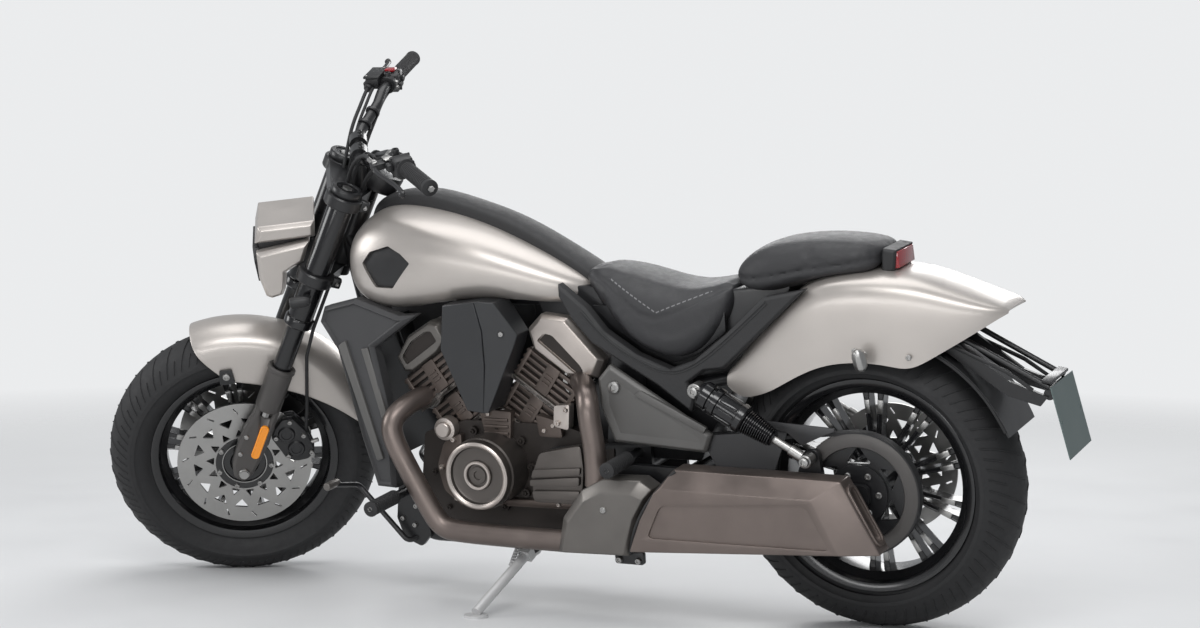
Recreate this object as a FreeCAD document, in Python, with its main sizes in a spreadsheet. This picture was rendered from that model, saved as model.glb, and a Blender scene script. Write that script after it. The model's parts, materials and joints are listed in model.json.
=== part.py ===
import FreeCAD, Part
import math
import os

import Sketcher
from FreeCAD import Placement, Rotation, Vector

# A V-twin cruiser motorcycle, parked on its side stand with the steering at its left stop.
# It is drawn upright: x forward from the rear tyre's contact point, y to the left, z up, in
# millimetres. At the end the steered pieces are turned to the stop and everything leans over.

doc = FreeCAD.newDocument("cruiser_motorcycle")
sheet = doc.addObject("Spreadsheet::Sheet", "sizes")

SIZES = {
    # Stance
    "wheelbase": 1570,
    "rake_angle": 27,
    "fork_offset": 55,
    "steering_stop_angle": 34,
    "lean_angle": 8,
    # Tyres and rims
    "rear_tyre_radius": 316,
    "rear_tyre_width": 180,
    "rear_crown_drop": 62,
    "rear_lip_radius": 228,
    "rear_rim_width": 132,
    "rear_hub_radius": 62,
    "rear_hub_width": 196,
    "rear_spoke_pairs": 10,
    "front_tyre_radius": 312,
    "front_tyre_width": 130,
    "front_crown_drop": 48,
    "front_lip_radius": 217,
    "front_rim_width": 96,
    "front_hub_radius": 58,
    "front_hub_width": 139,
    "front_spoke_pairs": 10,
    "lip_height": 12,
    "lip_width": 6,
    "rim_wall": 7,
    "spoke_width": 11,
    "spoke_depth": 30,
    "spoke_spread_angle": 5,
    "bearing_gap": 0.05,
    # Brake discs and axles
    "front_disc_radius": 155,
    "disc_thickness": 5,
    "disc_bore_radius": 50,
    "disc_window_count": 14,
    "disc_slot_count": 14,
    "disc_slot_angle": 35,
    "rear_disc_radius": 140,
    "front_axle_radius": 10,
    "rear_axle_radius": 12,
    "axle_nut_radius": 17,
    "axle_nut_width": 9,
    # Belt drive
    "pulley_radius": 131,
    "pulley_place": 118,
    "belt_width": 24,
    "belt_thickness": 7,
    "pulley_ring_width": 14,
    "belt_gap": 0.4,
    "pulley_web_thickness": 10,
    "pulley_window_count": 6,
    "sprocket_radius": 44,
    "sprocket_x": 690,
    "sprocket_z": 332,
    # Fork
    "fork_half_spacing": 108,
    "shoe_depth": 36,
    "shoe_width": 74,
    "shoe_length": 215,
    "shoe_cup_radius": 30,
    "inner_tube_radius": 22,
    "outer_tube_radius": 29,
    "fork_collar_radius": 33,
    "fork_collar_height": 22,
    "outer_tube_start": 392,
    "fork_top": 742,
    "lower_yoke_place": 505,
    "upper_yoke_place": 700,
    "yoke_thickness": 26,
    "yoke_rim": 12,
    "stem_radius": 15,
    "head_tube_radius": 31,
    "head_tube_gap": 2,
    # Front fender
    "front_fender_radius": 338,
    "front_fender_half_width": 77.6,
    "front_fender_wall": 4,
    "front_fender_skirt_radius": 205,
    "front_fender_nose_angle": 13,
    "front_fender_tail_angle": 86,
    # Handlebar
    "bar_radius": 12,
    "bar_bend": 60,
    "bar_centre_x": 1198,
    "bar_centre_z": 1022,
    "bar_clamp_half": 80,
    "riser_half_spacing": 37,
    "bar_end_x": 1052,
    "bar_end_y": 408,
    "bar_end_z": 1071,
    "grip_radius": 17,
    "grip_length": 125,
    "riser_width": 34,
    "instrument_radius": 48,
    "instrument_depth": 40,
    "instrument_x": 1150,
    "instrument_z": 962,
    "instrument_tilt_angle": 35,
    # Front end fittings
    "caliper_inner_radius": 104,
    "caliper_outer_radius": 166,
    "caliper_start_angle": 136,
    "caliper_end_angle": 178,
    "caliper_inner_place": 53,
    "caliper_outer_place": 96,
    "caliper_slot": 11,
    "hose_radius": 4,
    "hose_bend": 60,
    "reflector_length": 84,
    "reflector_width": 20,
    "reflector_thickness": 8,
    "lens_thickness": 8,
    "lens_half_width": 78,
    "lens_height": 92,
    "switch_length": 40,
    "switch_radius": 22,
    "lever_radius": 6,
    "lever_length": 165,
    "lever_reach": 52,
    "reservoir_length": 62,
    "reservoir_height": 34,
    "mirror_boss_height": 10,
    "mirror_thread_depth": 11,
    "mirror_thread_radius": 4.25,
    "front_indicator_place": 158,
    # Belt guard and floor clearances
    "guard_thickness": 3,
    "guard_rear_x": 138,
    "guard_length": 210,
    "pedal_reach": 130,
    # Headlight
    "headlight_rear_x": 1336,
    "headlight_front_x": 1462,
    "headlight_base_z": 728,
    "headlight_height": 122,
    "headlight_half_width": 92,
    "visor_rear_x": 1318,
    "visor_base_z": 853,
    "visor_height": 44,
    # Engine
    "crank_x": 852,
    "crank_z": 322,
    "bank_angle": 35,
    "crankcase_half_width": 100,
    "crankcase_length": 480,
    "crankcase_height": 270,
    "crankcase_rear_x": 565,
    "crankcase_base_z": 152,
    "barrel_base": 118,
    "barrel_top": 280,
    "barrel_half_length": 66,
    "barrel_half_width": 78,
    "fin_count": 9,
    "fin_thickness": 5,
    "fin_depth": 9,
    "head_half_length": 94,
    "head_half_width": 112,
    "head_height": 106,
    "generator_radius": 80,
    "generator_width": 100,
    "clutch_radius": 96,
    "clutch_width": 72,
    "clutch_x": 740,
    # Intake cover
    "intake_length": 168,
    "intake_rear_x": 759,
    "intake_base_z": 462,
    "intake_height": 240,
    "intake_inner_place": 86,
    "intake_outer_place": 176,
    # Sprocket cover
    "sprocket_cover_length": 126,
    "sprocket_cover_height": 130,
    "sprocket_cover_thickness": 36,
    "cover_post_radius": 5,
    # Frame
    "rail_radius": 14,
    "rail_bend": 60,
    "rail_half_spacing": 46,
    "rail_z": 690,
    "cradle_half_spacing": 88,
    "cradle_z": 150,
    "cradle_rear_x": 560,
    "downtube_x": 1118,
    "plate_place": 84,
    "plate_thickness": 12,
    "subframe_half_spacing": 86,
    # Swingarm
    "pivot_x": 520,
    "pivot_z": 330,
    "pivot_radius": 19,
    "arm_inner_place": 136,
    "arm_thickness": 16,
    "arm_height": 56,
    "cross_member_x": 385,
    # Shock absorbers
    "shock_place": 174,
    "shock_top_x": 330,
    "shock_top_z": 532,
    "shock_foot_x": 92,
    "shock_foot_z": 394,
    "shock_radius": 27,
    "shock_rod_radius": 9,
    "shock_eye_radius": 15,
    "shock_body_share": 0.42,
    "spring_turns": 8,
    "spring_wire_share": 0.3,
    # Tank
    "tank_rear_x": 618,
    "tank_length": 580,
    "tank_base_z": 662,
    "tank_height": 240,
    "tank_half_width": 166,
    "console_half_width": 46,
    "console_rise": 26,
    # Seats
    "seat_rear_x": 262,
    "seat_length": 382,
    "seat_base_z": 560,
    "seat_height": 206,
    "seat_half_width": 150,
    "seat_gap": 0.5,
    "pillion_rear_x": -38,
    "pillion_length": 322,
    "pillion_base_z": 712,
    "pillion_height": 116,
    "pillion_half_width": 118,
    "trim_rear_x": 100,
    "trim_length": 560,
    "trim_base_z": 473,
    "trim_height": 267,
    "trim_inner_place": 104,
    "trim_thickness": 34,
    # Rear bodywork
    "rear_fender_front_x": 295,
    "rear_fender_length": 600,
    "rear_fender_base_z": 500,
    "rear_fender_height": 268,
    "rear_fender_half_width": 124,
    "rear_fender_wall": 5,
    "inner_guard_radius": 332,
    "inner_guard_half_width": 92,
    "inner_guard_front_angle": 48,
    "inner_guard_rear_angle": 68,
    "tail_lamp_x": -42,
    "tail_lamp_length": 38,
    "tail_lamp_z": 776,
    "tail_lamp_height": 42,
    "tail_lamp_half_width": 62,
    "side_cover_rear_x": 316,
    "side_cover_length": 256,
    "side_cover_base_z": 390,
    "side_cover_height": 180,
    "side_cover_inner_place": 134,
    "side_cover_thickness": 20,
    "side_peg_radius": 8,
    # Radiator and shrouds
    "shroud_rear_x": 1002,
    "shroud_length": 246,
    "shroud_base_z": 271,
    "shroud_height": 431,
    "shroud_inner_place": 122,
    "shroud_thickness": 40,
    "radiator_depth": 36,
    "radiator_height": 300,
    "radiator_x": 1158,
    "radiator_z": 470,
    "radiator_lean_angle": 15,
    # Exhaust
    "header_radius": 24,
    "header_place": 192,
    "header_bend": 70,
    "header_front_x": 1066,
    "header_front_z": 405,
    "header_low_x": 950,
    "header_low_z": 192,
    "header_rear_x": 578,
    "shield_rear_x": 424,
    "shield_length": 228,
    "shield_base_z": 172,
    "shield_height": 170,
    "box_inner_place": 166,
    "box_thickness": 82,
    "silencer_rear_x": -83,
    "silencer_length": 566,
    "silencer_base_z": 184,
    "silencer_height": 188,
    "silencer_chamfer": 24,
    "seam_gap": 0.4,
    "outlet_width": 44,
    "outlet_depth": 30,
    # Tail carrier
    "carrier_half_spacing": 58,
    "carrier_thickness": 10,
    "carrier_root_x": -140,
    "carrier_root_z": 642,
    "carrier_cross_x": -40,
    "plate_half_width": 82,
    "plate_height": 150,
    "plate_sheet": 2,
    "plate_setback": 22,
    "plate_hole_half_spacing": 70,
    "plate_hole_drop": 75,
    "plate_hole_radius": 3.25,
    "plate_top_x": -372,
    "plate_top_z": 545,
    "plate_slope_angle": 14,
    "indicator_radius": 13,
    "indicator_length": 46,
    "indicator_stalk_radius": 6,
    # Foot controls
    "peg_radius": 15,
    "peg_length": 105,
    "front_peg_x": 1078,
    "front_peg_z": 256,
    "front_peg_place": 172,
    "rear_peg_x": 508,
    "rear_peg_z": 370,
    "rear_peg_place": 152,
    "bracket_thickness": 10,
    # Side stand
    "stand_pivot_x": 764,
    "stand_pivot_y": 128,
    "stand_pivot_z": 150,
    "stand_foot_x": 804,
    "stand_foot_y": 332,
    "stand_radius": 11,
    "stand_foot_radius": 26,
    "stand_foot_thickness": 6,
    "stand_pin_radius": 7,
    "stand_lug_thickness": 12,
    "stand_cheek_thickness": 7,
    "stand_knuckle_radius": 17,
    "stand_side_gap": 0.5,
    "stand_fold_angle": 88,
    "stand_folded_back": -97,
    "stand_folded_out": 20,
    "stand_folded_up": -10,
    "lamp_stay_half_width": 26,
}

for row, (alias, value) in enumerate(SIZES.items(), start=1):
    sheet.set(f"A{row}", alias)
    sheet.set(f"B{row}", str(value))
    sheet.setAlias(f"B{row}", alias)
doc.recompute()


class SheetReader:
    """Reads a named size back from the sheet, as in s.wheelbase."""

    def __getattr__(self, name):
        return float(sheet.get(name))


s = SheetReader()
sub_parts = []


# Small helpers


def sine(degrees):
    return math.sin(math.radians(degrees))


def cosine(degrees):
    return math.cos(math.radians(degrees))


def tangent(degrees):
    return math.tan(math.radians(degrees))


def keep(label, item, group):
    """Registers one sub-part. group is the rigid body that it turns with."""
    item.Label = label
    sub_parts.append((label, item, group))
    return item


def feature(label, shape, group):
    """A sub-part whose form is free: its shape comes from Part's own functions."""
    item = doc.addObject("Part::Feature", label)
    item.Shape = shape
    return keep(label, item, group)


def rounded(points, radius, closed=False):
    """Straight runs through the points, joined by tangent arcs of the radius where they fit."""
    count = len(points)
    corners = {}
    for index in range(count):
        here = points[index]
        if not closed and index in (0, count - 1):
            corners[index] = (here, None, here)
            continue
        back = points[index - 1] - here
        ahead = points[(index + 1) % count] - here
        half = back.getAngle(ahead) / 2
        shortest = min(back.Length, ahead.Length)
        reach = min(radius / math.tan(half), shortest * 0.45) if half < 1.56 else 0
        if reach <= 0:
            corners[index] = (here, None, here)
            continue
        arc_radius = reach * math.tan(half)
        back.normalize()
        ahead.normalize()
        middle = back + ahead
        middle.normalize()
        apex = here + middle * (arc_radius / math.sin(half) - arc_radius)
        corners[index] = (here + back * reach, apex, here + ahead * reach)
    geometry = []
    for index in range(count):
        first, apex, last = corners[index]
        if apex is not None:
            geometry.append(Part.Arc(first, apex, last))
        if index == count - 1 and not closed:
            break
        following = corners[(index + 1) % count][0]
        if (following - last).Length > 1e-6:
            geometry.append(Part.LineSegment(last, following))
    return geometry


def wire(geometry):
    return Part.Wire([piece.toShape() for piece in geometry])


def tube(points, radius, bend):
    """A round bar along straight runs with tangent bends."""
    spine = wire(rounded(points, bend))
    profile = Part.Wire([Part.Circle(points[0], points[1] - points[0], radius).toShape()])
    return spine.makePipeShell([profile], True, True)


def rod(start, end, radius):
    """A straight round bar between two points."""
    along = end - start
    return Part.makeCylinder(radius, along.Length, start, along)


def side_points(outline, rear, base, length, height):
    """Side-view outline: shares of a length and a height, laid out from a lower rear corner."""
    return [Vector(rear + a * length, 0, base + b * height) for a, b in outline]


def slab(points, inner, outer, corner=0):
    """A side-view outline made solid between two distances from the middle plane."""
    geometry = rounded(points, corner, True) if corner else rounded(points, 0, True)
    face = Part.Face(wire(geometry))
    face.translate(Vector(0, inner, 0))
    return face.extrude(Vector(0, outer - inner, 0))


def mirrored(shape):
    return shape.mirror(Vector(), Vector(0, 1, 0))


def both_sides(shape):
    return Part.makeCompound([shape, mirrored(shape)])


def ring(points):
    """A closed smooth curve through the points."""
    curve = Part.BSplineCurve()
    curve.interpolate(Points=points, PeriodicFlag=True)
    return Part.Wire([curve.toShape()])


def loft(rings):
    return Part.makeLoft(rings, True)


def fused(shapes):
    whole = shapes[0].multiFuse(shapes[1:])
    return whole.removeSplitter()


def faceted(points, inner, outer, edge, recess_share):
    """A box in side view whose outer face is drawn in by sloping facets round a sunk panel."""
    shoulder = outer - edge * 0.9
    body = slab(points, inner, shoulder)
    base = wire(rounded(points, 0, True))
    cap = base.makeOffset2D(-edge, 2)
    panel = base.makeOffset2D(-edge * 1.4, 2)
    base.translate(Vector(0, shoulder, 0))
    cap.translate(Vector(0, outer, 0))
    panel.translate(Vector(0, outer, 0))
    crown = Part.makeLoft([base, cap], True, True)
    sunk = Part.Face(panel).extrude(Vector(0, -edge * recess_share, 0))
    return fused([body, crown]).cut(sunk)


def turned(shares, radius, length, base, outwards):
    """Spins a profile of (radius share, length share) about an axis that starts at the base."""
    points = [Vector(a * radius, 0, b * length) for a, b in shares]
    solid = Part.Face(Part.makePolygon(points + [points[0]])).revolve(Vector(), Vector(0, 0, 1), 360)
    solid.Placement = Placement(base, Rotation(Vector(0, 0, 1), outwards))
    return solid


# Places that several sub-parts share

rear_centre = Vector(0, 0, s.rear_tyre_radius)
front_centre = Vector(s.wheelbase, 0, s.front_tyre_radius)
steering_up = Vector(-sine(s.rake_angle), 0, cosine(s.rake_angle))
steering_ahead = Vector(cosine(s.rake_angle), 0, sine(s.rake_angle))
steering_foot = front_centre - steering_ahead * s.fork_offset
crank_centre = Vector(s.crank_x, 0, s.crank_z)


def on_leg(height, side=1):
    """A point on a fork leg's axis, its height measured along the leg from the axle."""
    return front_centre + steering_up * height + Vector(0, side * s.fork_half_spacing, 0)


def on_axis(height):
    """A point on the steering axis, at the same height along it."""
    return steering_foot + steering_up * height


# PartDesign helpers


def new_body(label):
    body = doc.addObject("PartDesign::Body", label)
    body.AllowCompound = True
    return body


def new_sketch(body, role, name, geometry, offset=None):
    """A sketch on one of the body's own origin planes, moved along its normal by an expression."""
    item = body.newObject("Sketcher::SketchObject", name)
    planes = [plane for plane in body.Origin.OriginFeatures if plane.Role == role]
    item.AttachmentSupport = [(planes[0], "")]
    item.MapMode = "FlatFace"
    if offset:
        item.setExpression("AttachmentOffset.Base.z", offset)
    for piece in geometry:
        item.addGeometry(piece, False)
    return item


def circle(sketch, radius):
    """A circle about the sketch's origin, its radius bound to the sheet."""
    index = sketch.addGeometry(Part.Circle(Vector(), Vector(0, 0, 1), 1), False)
    number = sketch.addConstraint(Sketcher.Constraint("Radius", index, 1))
    sketch.addConstraint(Sketcher.Constraint("Coincident", index, 3, -1, 1))
    sketch.setExpression(f"Constraints[{number}]", radius)


def pad(body, sketch, name, length, midplane=True):
    item = body.newObject("PartDesign::Pad", name)
    item.Profile = sketch
    item.Midplane = midplane
    item.setExpression("Length", length)
    sketch.Visibility = False
    return item


def pocket(body, sketch, name, length):
    item = body.newObject("PartDesign::Pocket", name)
    item.Profile = sketch
    item.Midplane = True
    item.setExpression("Length", length)
    sketch.Visibility = False
    return item


def around(body, original, sketch, name, count):
    """Repeats a feature about the sketch's normal."""
    item = body.newObject("PartDesign::PolarPattern", name)
    item.Originals = [original]
    item.Axis = (sketch, ["N_Axis"])
    item.Angle = 360
    item.setExpression("Occurrences", count)
    body.Tip = item
    return item


def revolve(body, sketch, name):
    """Turns a sketch about the wheel's own axis, the sketch's horizontal."""
    item = body.newObject("PartDesign::Revolution", name)
    item.Profile = sketch
    item.ReferenceAxis = (sketch, ["H_Axis"])
    item.Angle = 360
    sketch.Visibility = False
    return item


# Wheels


def spoke_outline(inner, outer, width, angle):
    """A straight spoke in side view, turned about the hub."""
    along = Vector(sine(angle), cosine(angle), 0)
    across = Vector(cosine(angle), -sine(angle), 0) * (width / 2)
    corners = [along * inner - across, along * outer - across, along * outer + across, along * inner + across]
    return rounded(corners, 0, True)


def rim(end, centre, group):
    """Cast rim: a hub, pairs of straight spokes and a dropped barrel with two lips."""
    size = {name: getattr(s, f"{end}_{name}") for name in ("lip_radius", "rim_width", "hub_radius")}
    body = new_body(f"{end}_rim")
    hub = new_sketch(body, "XZ_Plane", f"{end}_hub_outline", [])
    circle(hub, f"sizes.{end}_hub_radius")
    pad(body, hub, f"{end}_hub", f"sizes.{end}_hub_width")
    barrel = size["lip_radius"] - s.lip_height
    inside = barrel - s.rim_wall
    for hand, lean in (("left", -s.spoke_spread_angle), ("right", s.spoke_spread_angle)):
        spoke = spoke_outline(size["hub_radius"] * 0.8, inside + s.rim_wall / 2, s.spoke_width, lean)
        outline = new_sketch(body, "XZ_Plane", f"{end}_{hand}_spoke_outline", spoke)
        one = pad(body, outline, f"{end}_{hand}_spoke", "sizes.spoke_depth")
        around(body, one, outline, f"{end}_{hand}_spokes", f"sizes.{end}_spoke_pairs")
    half = size["rim_width"] / 2
    lip = size["lip_radius"]
    profile = [
        Vector(-half, lip, 0),
        Vector(-half, inside, 0),
        Vector(half, inside, 0),
        Vector(half, lip, 0),
        Vector(half - s.lip_width, lip, 0),
        Vector(half - s.lip_width, barrel, 0),
        Vector(s.lip_width - half, barrel, 0),
        Vector(s.lip_width - half, lip, 0),
    ]
    section = new_sketch(body, "YZ_Plane", f"{end}_rim_section", rounded(profile, 0, True))
    revolve(body, section, f"{end}_barrel")
    bore = new_sketch(body, "XZ_Plane", f"{end}_bore_outline", [])
    circle(bore, f"sizes.{end}_axle_radius + sizes.bearing_gap")
    pocket(body, bore, f"{end}_bore", f"sizes.{end}_hub_width * 1.1")
    body.Placement = Placement(centre, Rotation())
    return keep(f"{end}_rim", body, group)


def tyre(end, centre, group):
    """Round-crowned tyre whose beads sit between the rim's lips."""
    radius = getattr(s, f"{end}_tyre_radius")
    half = getattr(s, f"{end}_tyre_width") / 2
    shoulder = radius - getattr(s, f"{end}_crown_drop")
    lip = getattr(s, f"{end}_lip_radius")
    bead = lip - s.lip_height
    seat = getattr(s, f"{end}_rim_width") / 2 - s.lip_width
    wall_middle = Vector((seat + half) / 2 + s.lip_width / 2, (lip + shoulder) / 2, 0)

    def other(point):
        return Vector(-point.x, point.y, 0)

    foot = Vector(seat, bead, 0)
    neck = Vector(seat, lip, 0)
    edge = Vector(half, shoulder, 0)
    section = [
        Part.LineSegment(other(foot), foot),
        Part.LineSegment(foot, neck),
        Part.Arc(neck, wall_middle, edge),
        Part.Arc(edge, Vector(0, radius, 0), other(edge)),
        Part.Arc(other(edge), other(wall_middle), other(neck)),
        Part.LineSegment(other(neck), other(foot)),
    ]
    body = new_body(f"{end}_tyre")
    sketch = new_sketch(body, "YZ_Plane", f"{end}_tyre_section", section)
    revolve(body, sketch, f"{end}_tyre_ring")
    body.Placement = Placement(centre, Rotation())
    return keep(f"{end}_tyre", body, group)


def window_outline(inner, outer, half_angle, tip_at_outer):
    """A three-cornered window between two radii, its tip turned out or in."""
    wide, narrow = (inner, outer) if tip_at_outer else (outer, inner)
    corners = [
        Vector(wide * sine(half_angle), wide * cosine(half_angle), 0),
        Vector(-wide * sine(half_angle), wide * cosine(half_angle), 0),
        Vector(0, narrow, 0),
    ]
    return rounded(corners, (outer - inner) / 12, True)


def disc_body(label, radius_name, place, side):
    """Brake disc: a ring with two rows of three-cornered windows and a ring of slots."""
    radius = getattr(s, radius_name)
    body = new_body(label)
    offset = f"{-side} * ({place})"
    outline = new_sketch(body, "XZ_Plane", f"{label}_outline", [], offset)
    circle(outline, f"sizes.{radius_name}")
    circle(outline, "sizes.disc_bore_radius")
    pad(body, outline, f"{label}_ring", "sizes.disc_thickness")
    step = 180 / s.disc_window_count
    rows = [(0.46, 0.58, 0.62, True, 0), (0.62, 0.76, 0.66, False, step)]
    for number, (inner, outer, spread, tip_out, turn) in enumerate(rows):
        shape = window_outline(radius * inner, radius * outer, step * spread, tip_out)
        for piece in shape:
            piece.rotate(Placement(Vector(), Rotation(Vector(0, 0, 1), turn)))
        windows = new_sketch(body, "XZ_Plane", f"{label}_window_outline_{number}", shape, offset)
        cut = pocket(body, windows, f"{label}_window_{number}", "sizes.disc_thickness * 3")
        around(body, cut, windows, f"{label}_windows_{number}", "sizes.disc_window_count")
    along = Vector(sine(s.disc_slot_angle), cosine(s.disc_slot_angle), 0) * (radius * 0.055)
    across = Vector(cosine(s.disc_slot_angle), -sine(s.disc_slot_angle), 0) * (radius * 0.013)
    middle = Vector(0, radius * 0.88, 0)
    corners = [middle + along + across, middle + along - across, middle - along - across, middle - along + across]
    slots = new_sketch(body, "XZ_Plane", f"{label}_slot_outline", rounded(corners, 0, True), offset)
    cut = pocket(body, slots, f"{label}_slot", "sizes.disc_thickness * 3")
    around(body, cut, slots, f"{label}_slots", "sizes.disc_slot_count")
    return body


def pulley(group):
    """Belt pulley: a toothless rim ring on a web with round openings."""
    body = new_body("rear_pulley")
    offset = "-sizes.pulley_place"
    outline = new_sketch(body, "XZ_Plane", "pulley_rim_outline", [], offset)
    circle(outline, "sizes.pulley_radius - sizes.belt_thickness - sizes.belt_gap")
    circle(outline, "sizes.pulley_radius - sizes.belt_thickness - sizes.pulley_ring_width")
    pad(body, outline, "pulley_rim", "sizes.belt_width")
    web = new_sketch(body, "XZ_Plane", "pulley_web_outline", [], offset)
    circle(web, "sizes.pulley_radius - sizes.belt_thickness - sizes.pulley_ring_width / 2")
    circle(web, "sizes.rear_axle_radius + sizes.bearing_gap")
    pad(body, web, "pulley_web", "sizes.pulley_web_thickness")
    hub = new_sketch(body, "XZ_Plane", "pulley_hub_outline", [], offset)
    circle(hub, "sizes.rear_hub_radius")
    circle(hub, "sizes.rear_axle_radius + sizes.bearing_gap")
    pad(body, hub, "pulley_hub", "sizes.belt_width")
    inner, outer = s.rear_hub_radius * 1.12, s.pulley_radius - s.belt_thickness - s.pulley_ring_width * 1.6
    shape = window_outline(inner, outer, 140 / s.pulley_window_count, True)
    windows = new_sketch(body, "XZ_Plane", "pulley_window_outline", shape, offset)
    cut = pocket(body, windows, "pulley_window", "sizes.belt_width * 2")
    around(body, cut, windows, "pulley_windows", "sizes.pulley_window_count")
    body.Placement = Placement(rear_centre, Rotation())
    return keep("rear_pulley", body, group)


def mirrored_pair(label, body, centre, group):
    """One node of a left piece and its mirror image."""
    doc.recompute()
    other = doc.addObject("Part::Mirroring", f"{label}_right")
    other.Source = body
    other.Normal = Vector(0, 1, 0)
    pair = doc.addObject("Part::Compound", label)
    pair.Links = [body, other]
    pair.Placement = Placement(centre, Rotation())
    return keep(label, pair, group)


def axle(label, centre, radius_name, length_name, group):
    """A plain spindle across the motorcycle, bound to its radius and length."""
    item = doc.addObject("Part::Cylinder", label)
    item.setExpression("Radius", f"sizes.{radius_name}")
    item.setExpression("Height", length_name)
    doc.recompute()
    half = item.Height.Value / 2
    item.Placement = Placement(centre - Vector(0, half, 0), Rotation(Vector(1, 0, 0), -90))
    return keep(label, item, group)


rim("rear", rear_centre, "rear_wheel")
tyre("rear", rear_centre, "rear_wheel")
pulley("rear_wheel")
rear_disc = disc_body("rear_disc", "rear_disc_radius", "(sizes.rear_hub_width + sizes.disc_thickness) / 2", -1)
rear_disc.Placement = Placement(rear_centre, Rotation())
keep("rear_disc", rear_disc, "rear_wheel")
rim("front", front_centre, "front_wheel")
tyre("front", front_centre, "front_wheel")
left_disc = disc_body("left_disc", "front_disc_radius", "(sizes.front_hub_width + sizes.disc_thickness) / 2", 1)
mirrored_pair("front_discs", left_disc, front_centre, "front_wheel")
axle(
    "rear_axle",
    rear_centre,
    "rear_axle_radius",
    "2 * (sizes.arm_inner_place + sizes.arm_thickness + sizes.axle_nut_width)",
    "chassis",
)
axle(
    "front_axle",
    front_centre,
    "front_axle_radius",
    "2 * sizes.fork_half_spacing + sizes.shoe_depth + 2 * sizes.axle_nut_width",
    "steering",
)


# Settling on the floor, and the side stand


def lowest(centre, normal, radius, crown):
    """Height of the lowest point of a round-crowned tyre."""
    return centre.z - (radius - crown) * math.sqrt(1 - normal.z * normal.z) - crown


def crown_radius(end):
    half = getattr(s, f"{end}_tyre_width") / 2
    drop = getattr(s, f"{end}_crown_drop")
    return (half * half + drop * drop) / (2 * drop)


steer = Placement(Vector(), Rotation(steering_up, s.steering_stop_angle), steering_foot)


def parked():
    """Leans the motorcycle, then tips and lifts it until both tyres touch the floor."""
    tip = 0
    lift = 0
    for _ in range(8):
        turn = Rotation(Vector(0, 1, 0), tip).multiply(Rotation(Vector(1, 0, 0), -s.lean_angle))
        place = Placement(Vector(0, 0, lift), turn)
        side = Vector(0, 1, 0)
        rear_low = lowest(
            place.multVec(rear_centre), turn.multVec(side), s.rear_tyre_radius, crown_radius("rear")
        )
        front_turn = turn.multiply(steer.Rotation)
        front_low = lowest(
            place.multiply(steer).multVec(front_centre),
            front_turn.multVec(side),
            s.front_tyre_radius,
            crown_radius("front"),
        )
        tip += math.degrees(math.atan((front_low - rear_low) / s.wheelbase))
        lift -= rear_low
    return place


park = parked()

def stand_geometry():
    """Pivot, foot and hinge axis of the side stand, in the upright motorcycle's own frame."""
    pivot = Vector(s.stand_pivot_x, s.stand_pivot_y, s.stand_pivot_z)
    foot = Vector(s.stand_foot_x, s.stand_foot_y, 0)
    foot.z = -park.multVec(foot).z / park.Rotation.multVec(Vector(0, 0, 1)).z
    out = foot - pivot
    out.normalize()
    folded = Vector(s.stand_folded_back, s.stand_folded_out, s.stand_folded_up)
    axis = out.cross(folded)
    axis.normalize()
    return pivot, foot, axis


def stand():
    """Side stand: a leg from its forked knuckle to a round foot that lies flat on the floor."""
    pivot, foot, axis = stand_geometry()
    down = park.inverse().Rotation.multVec(Vector(0, 0, -1))
    inner = s.stand_lug_thickness / 2 + s.stand_side_gap
    outer = inner + s.stand_cheek_thickness
    out = foot - pivot
    out.normalize()
    root = pivot + out * (s.stand_knuckle_radius * 1.9)
    cheeks = rod(pivot - axis * outer, pivot + axis * outer, s.stand_knuckle_radius)
    across = axis.cross(out)
    across.normalize()
    half = s.stand_knuckle_radius * 0.8
    corners = [pivot - across * half, pivot + across * half, root + across * half, root - across * half]
    block = Part.Face(Part.makePolygon(corners + corners[:1])).extrude(axis * (2 * outer))
    block.translate(axis * -outer)
    gap = rod(pivot - axis * inner, pivot + axis * inner, s.stand_knuckle_radius + 1.5)
    head = fused([cheeks, block]).cut(gap)
    head = head.cut(rod(pivot - axis * outer * 2, pivot + axis * outer * 2, s.stand_pin_radius + s.bearing_gap))
    leg = rod(pivot + out * (s.stand_knuckle_radius * 1.7), foot - down * (s.stand_radius * 0.95), s.stand_radius)
    sole = rod(foot - down * s.stand_foot_thickness, foot, s.stand_foot_radius)
    return fused([head, leg, sole])


def stand_lug():
    """Plate on the cradle that carries the stand, with its pin."""
    pivot, foot, axis = stand_geometry()
    half = s.stand_lug_thickness / 2
    inward = Vector(0, -1, 0) - axis * Vector(0, -1, 0).dot(axis)
    inward.normalize()
    across = axis.cross(inward)
    boss = rod(pivot - axis * half, pivot + axis * half, s.stand_knuckle_radius)
    reach = (s.stand_pivot_y - s.cradle_half_spacing) * 1.1
    side = s.stand_knuckle_radius * 0.8
    corners = [
        pivot + across * side,
        pivot - across * side,
        pivot - across * side + inward * reach,
        pivot + across * side + inward * reach,
    ]
    neck = Part.Face(Part.makePolygon(corners + corners[:1])).extrude(axis * s.stand_lug_thickness)
    neck.translate(axis * -half)
    length = half + s.stand_side_gap + s.stand_cheek_thickness
    pin = rod(pivot - axis * length, pivot + axis * length, s.stand_pin_radius)
    return fused([boss, neck, pin])


# Front end, straight ahead


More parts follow.
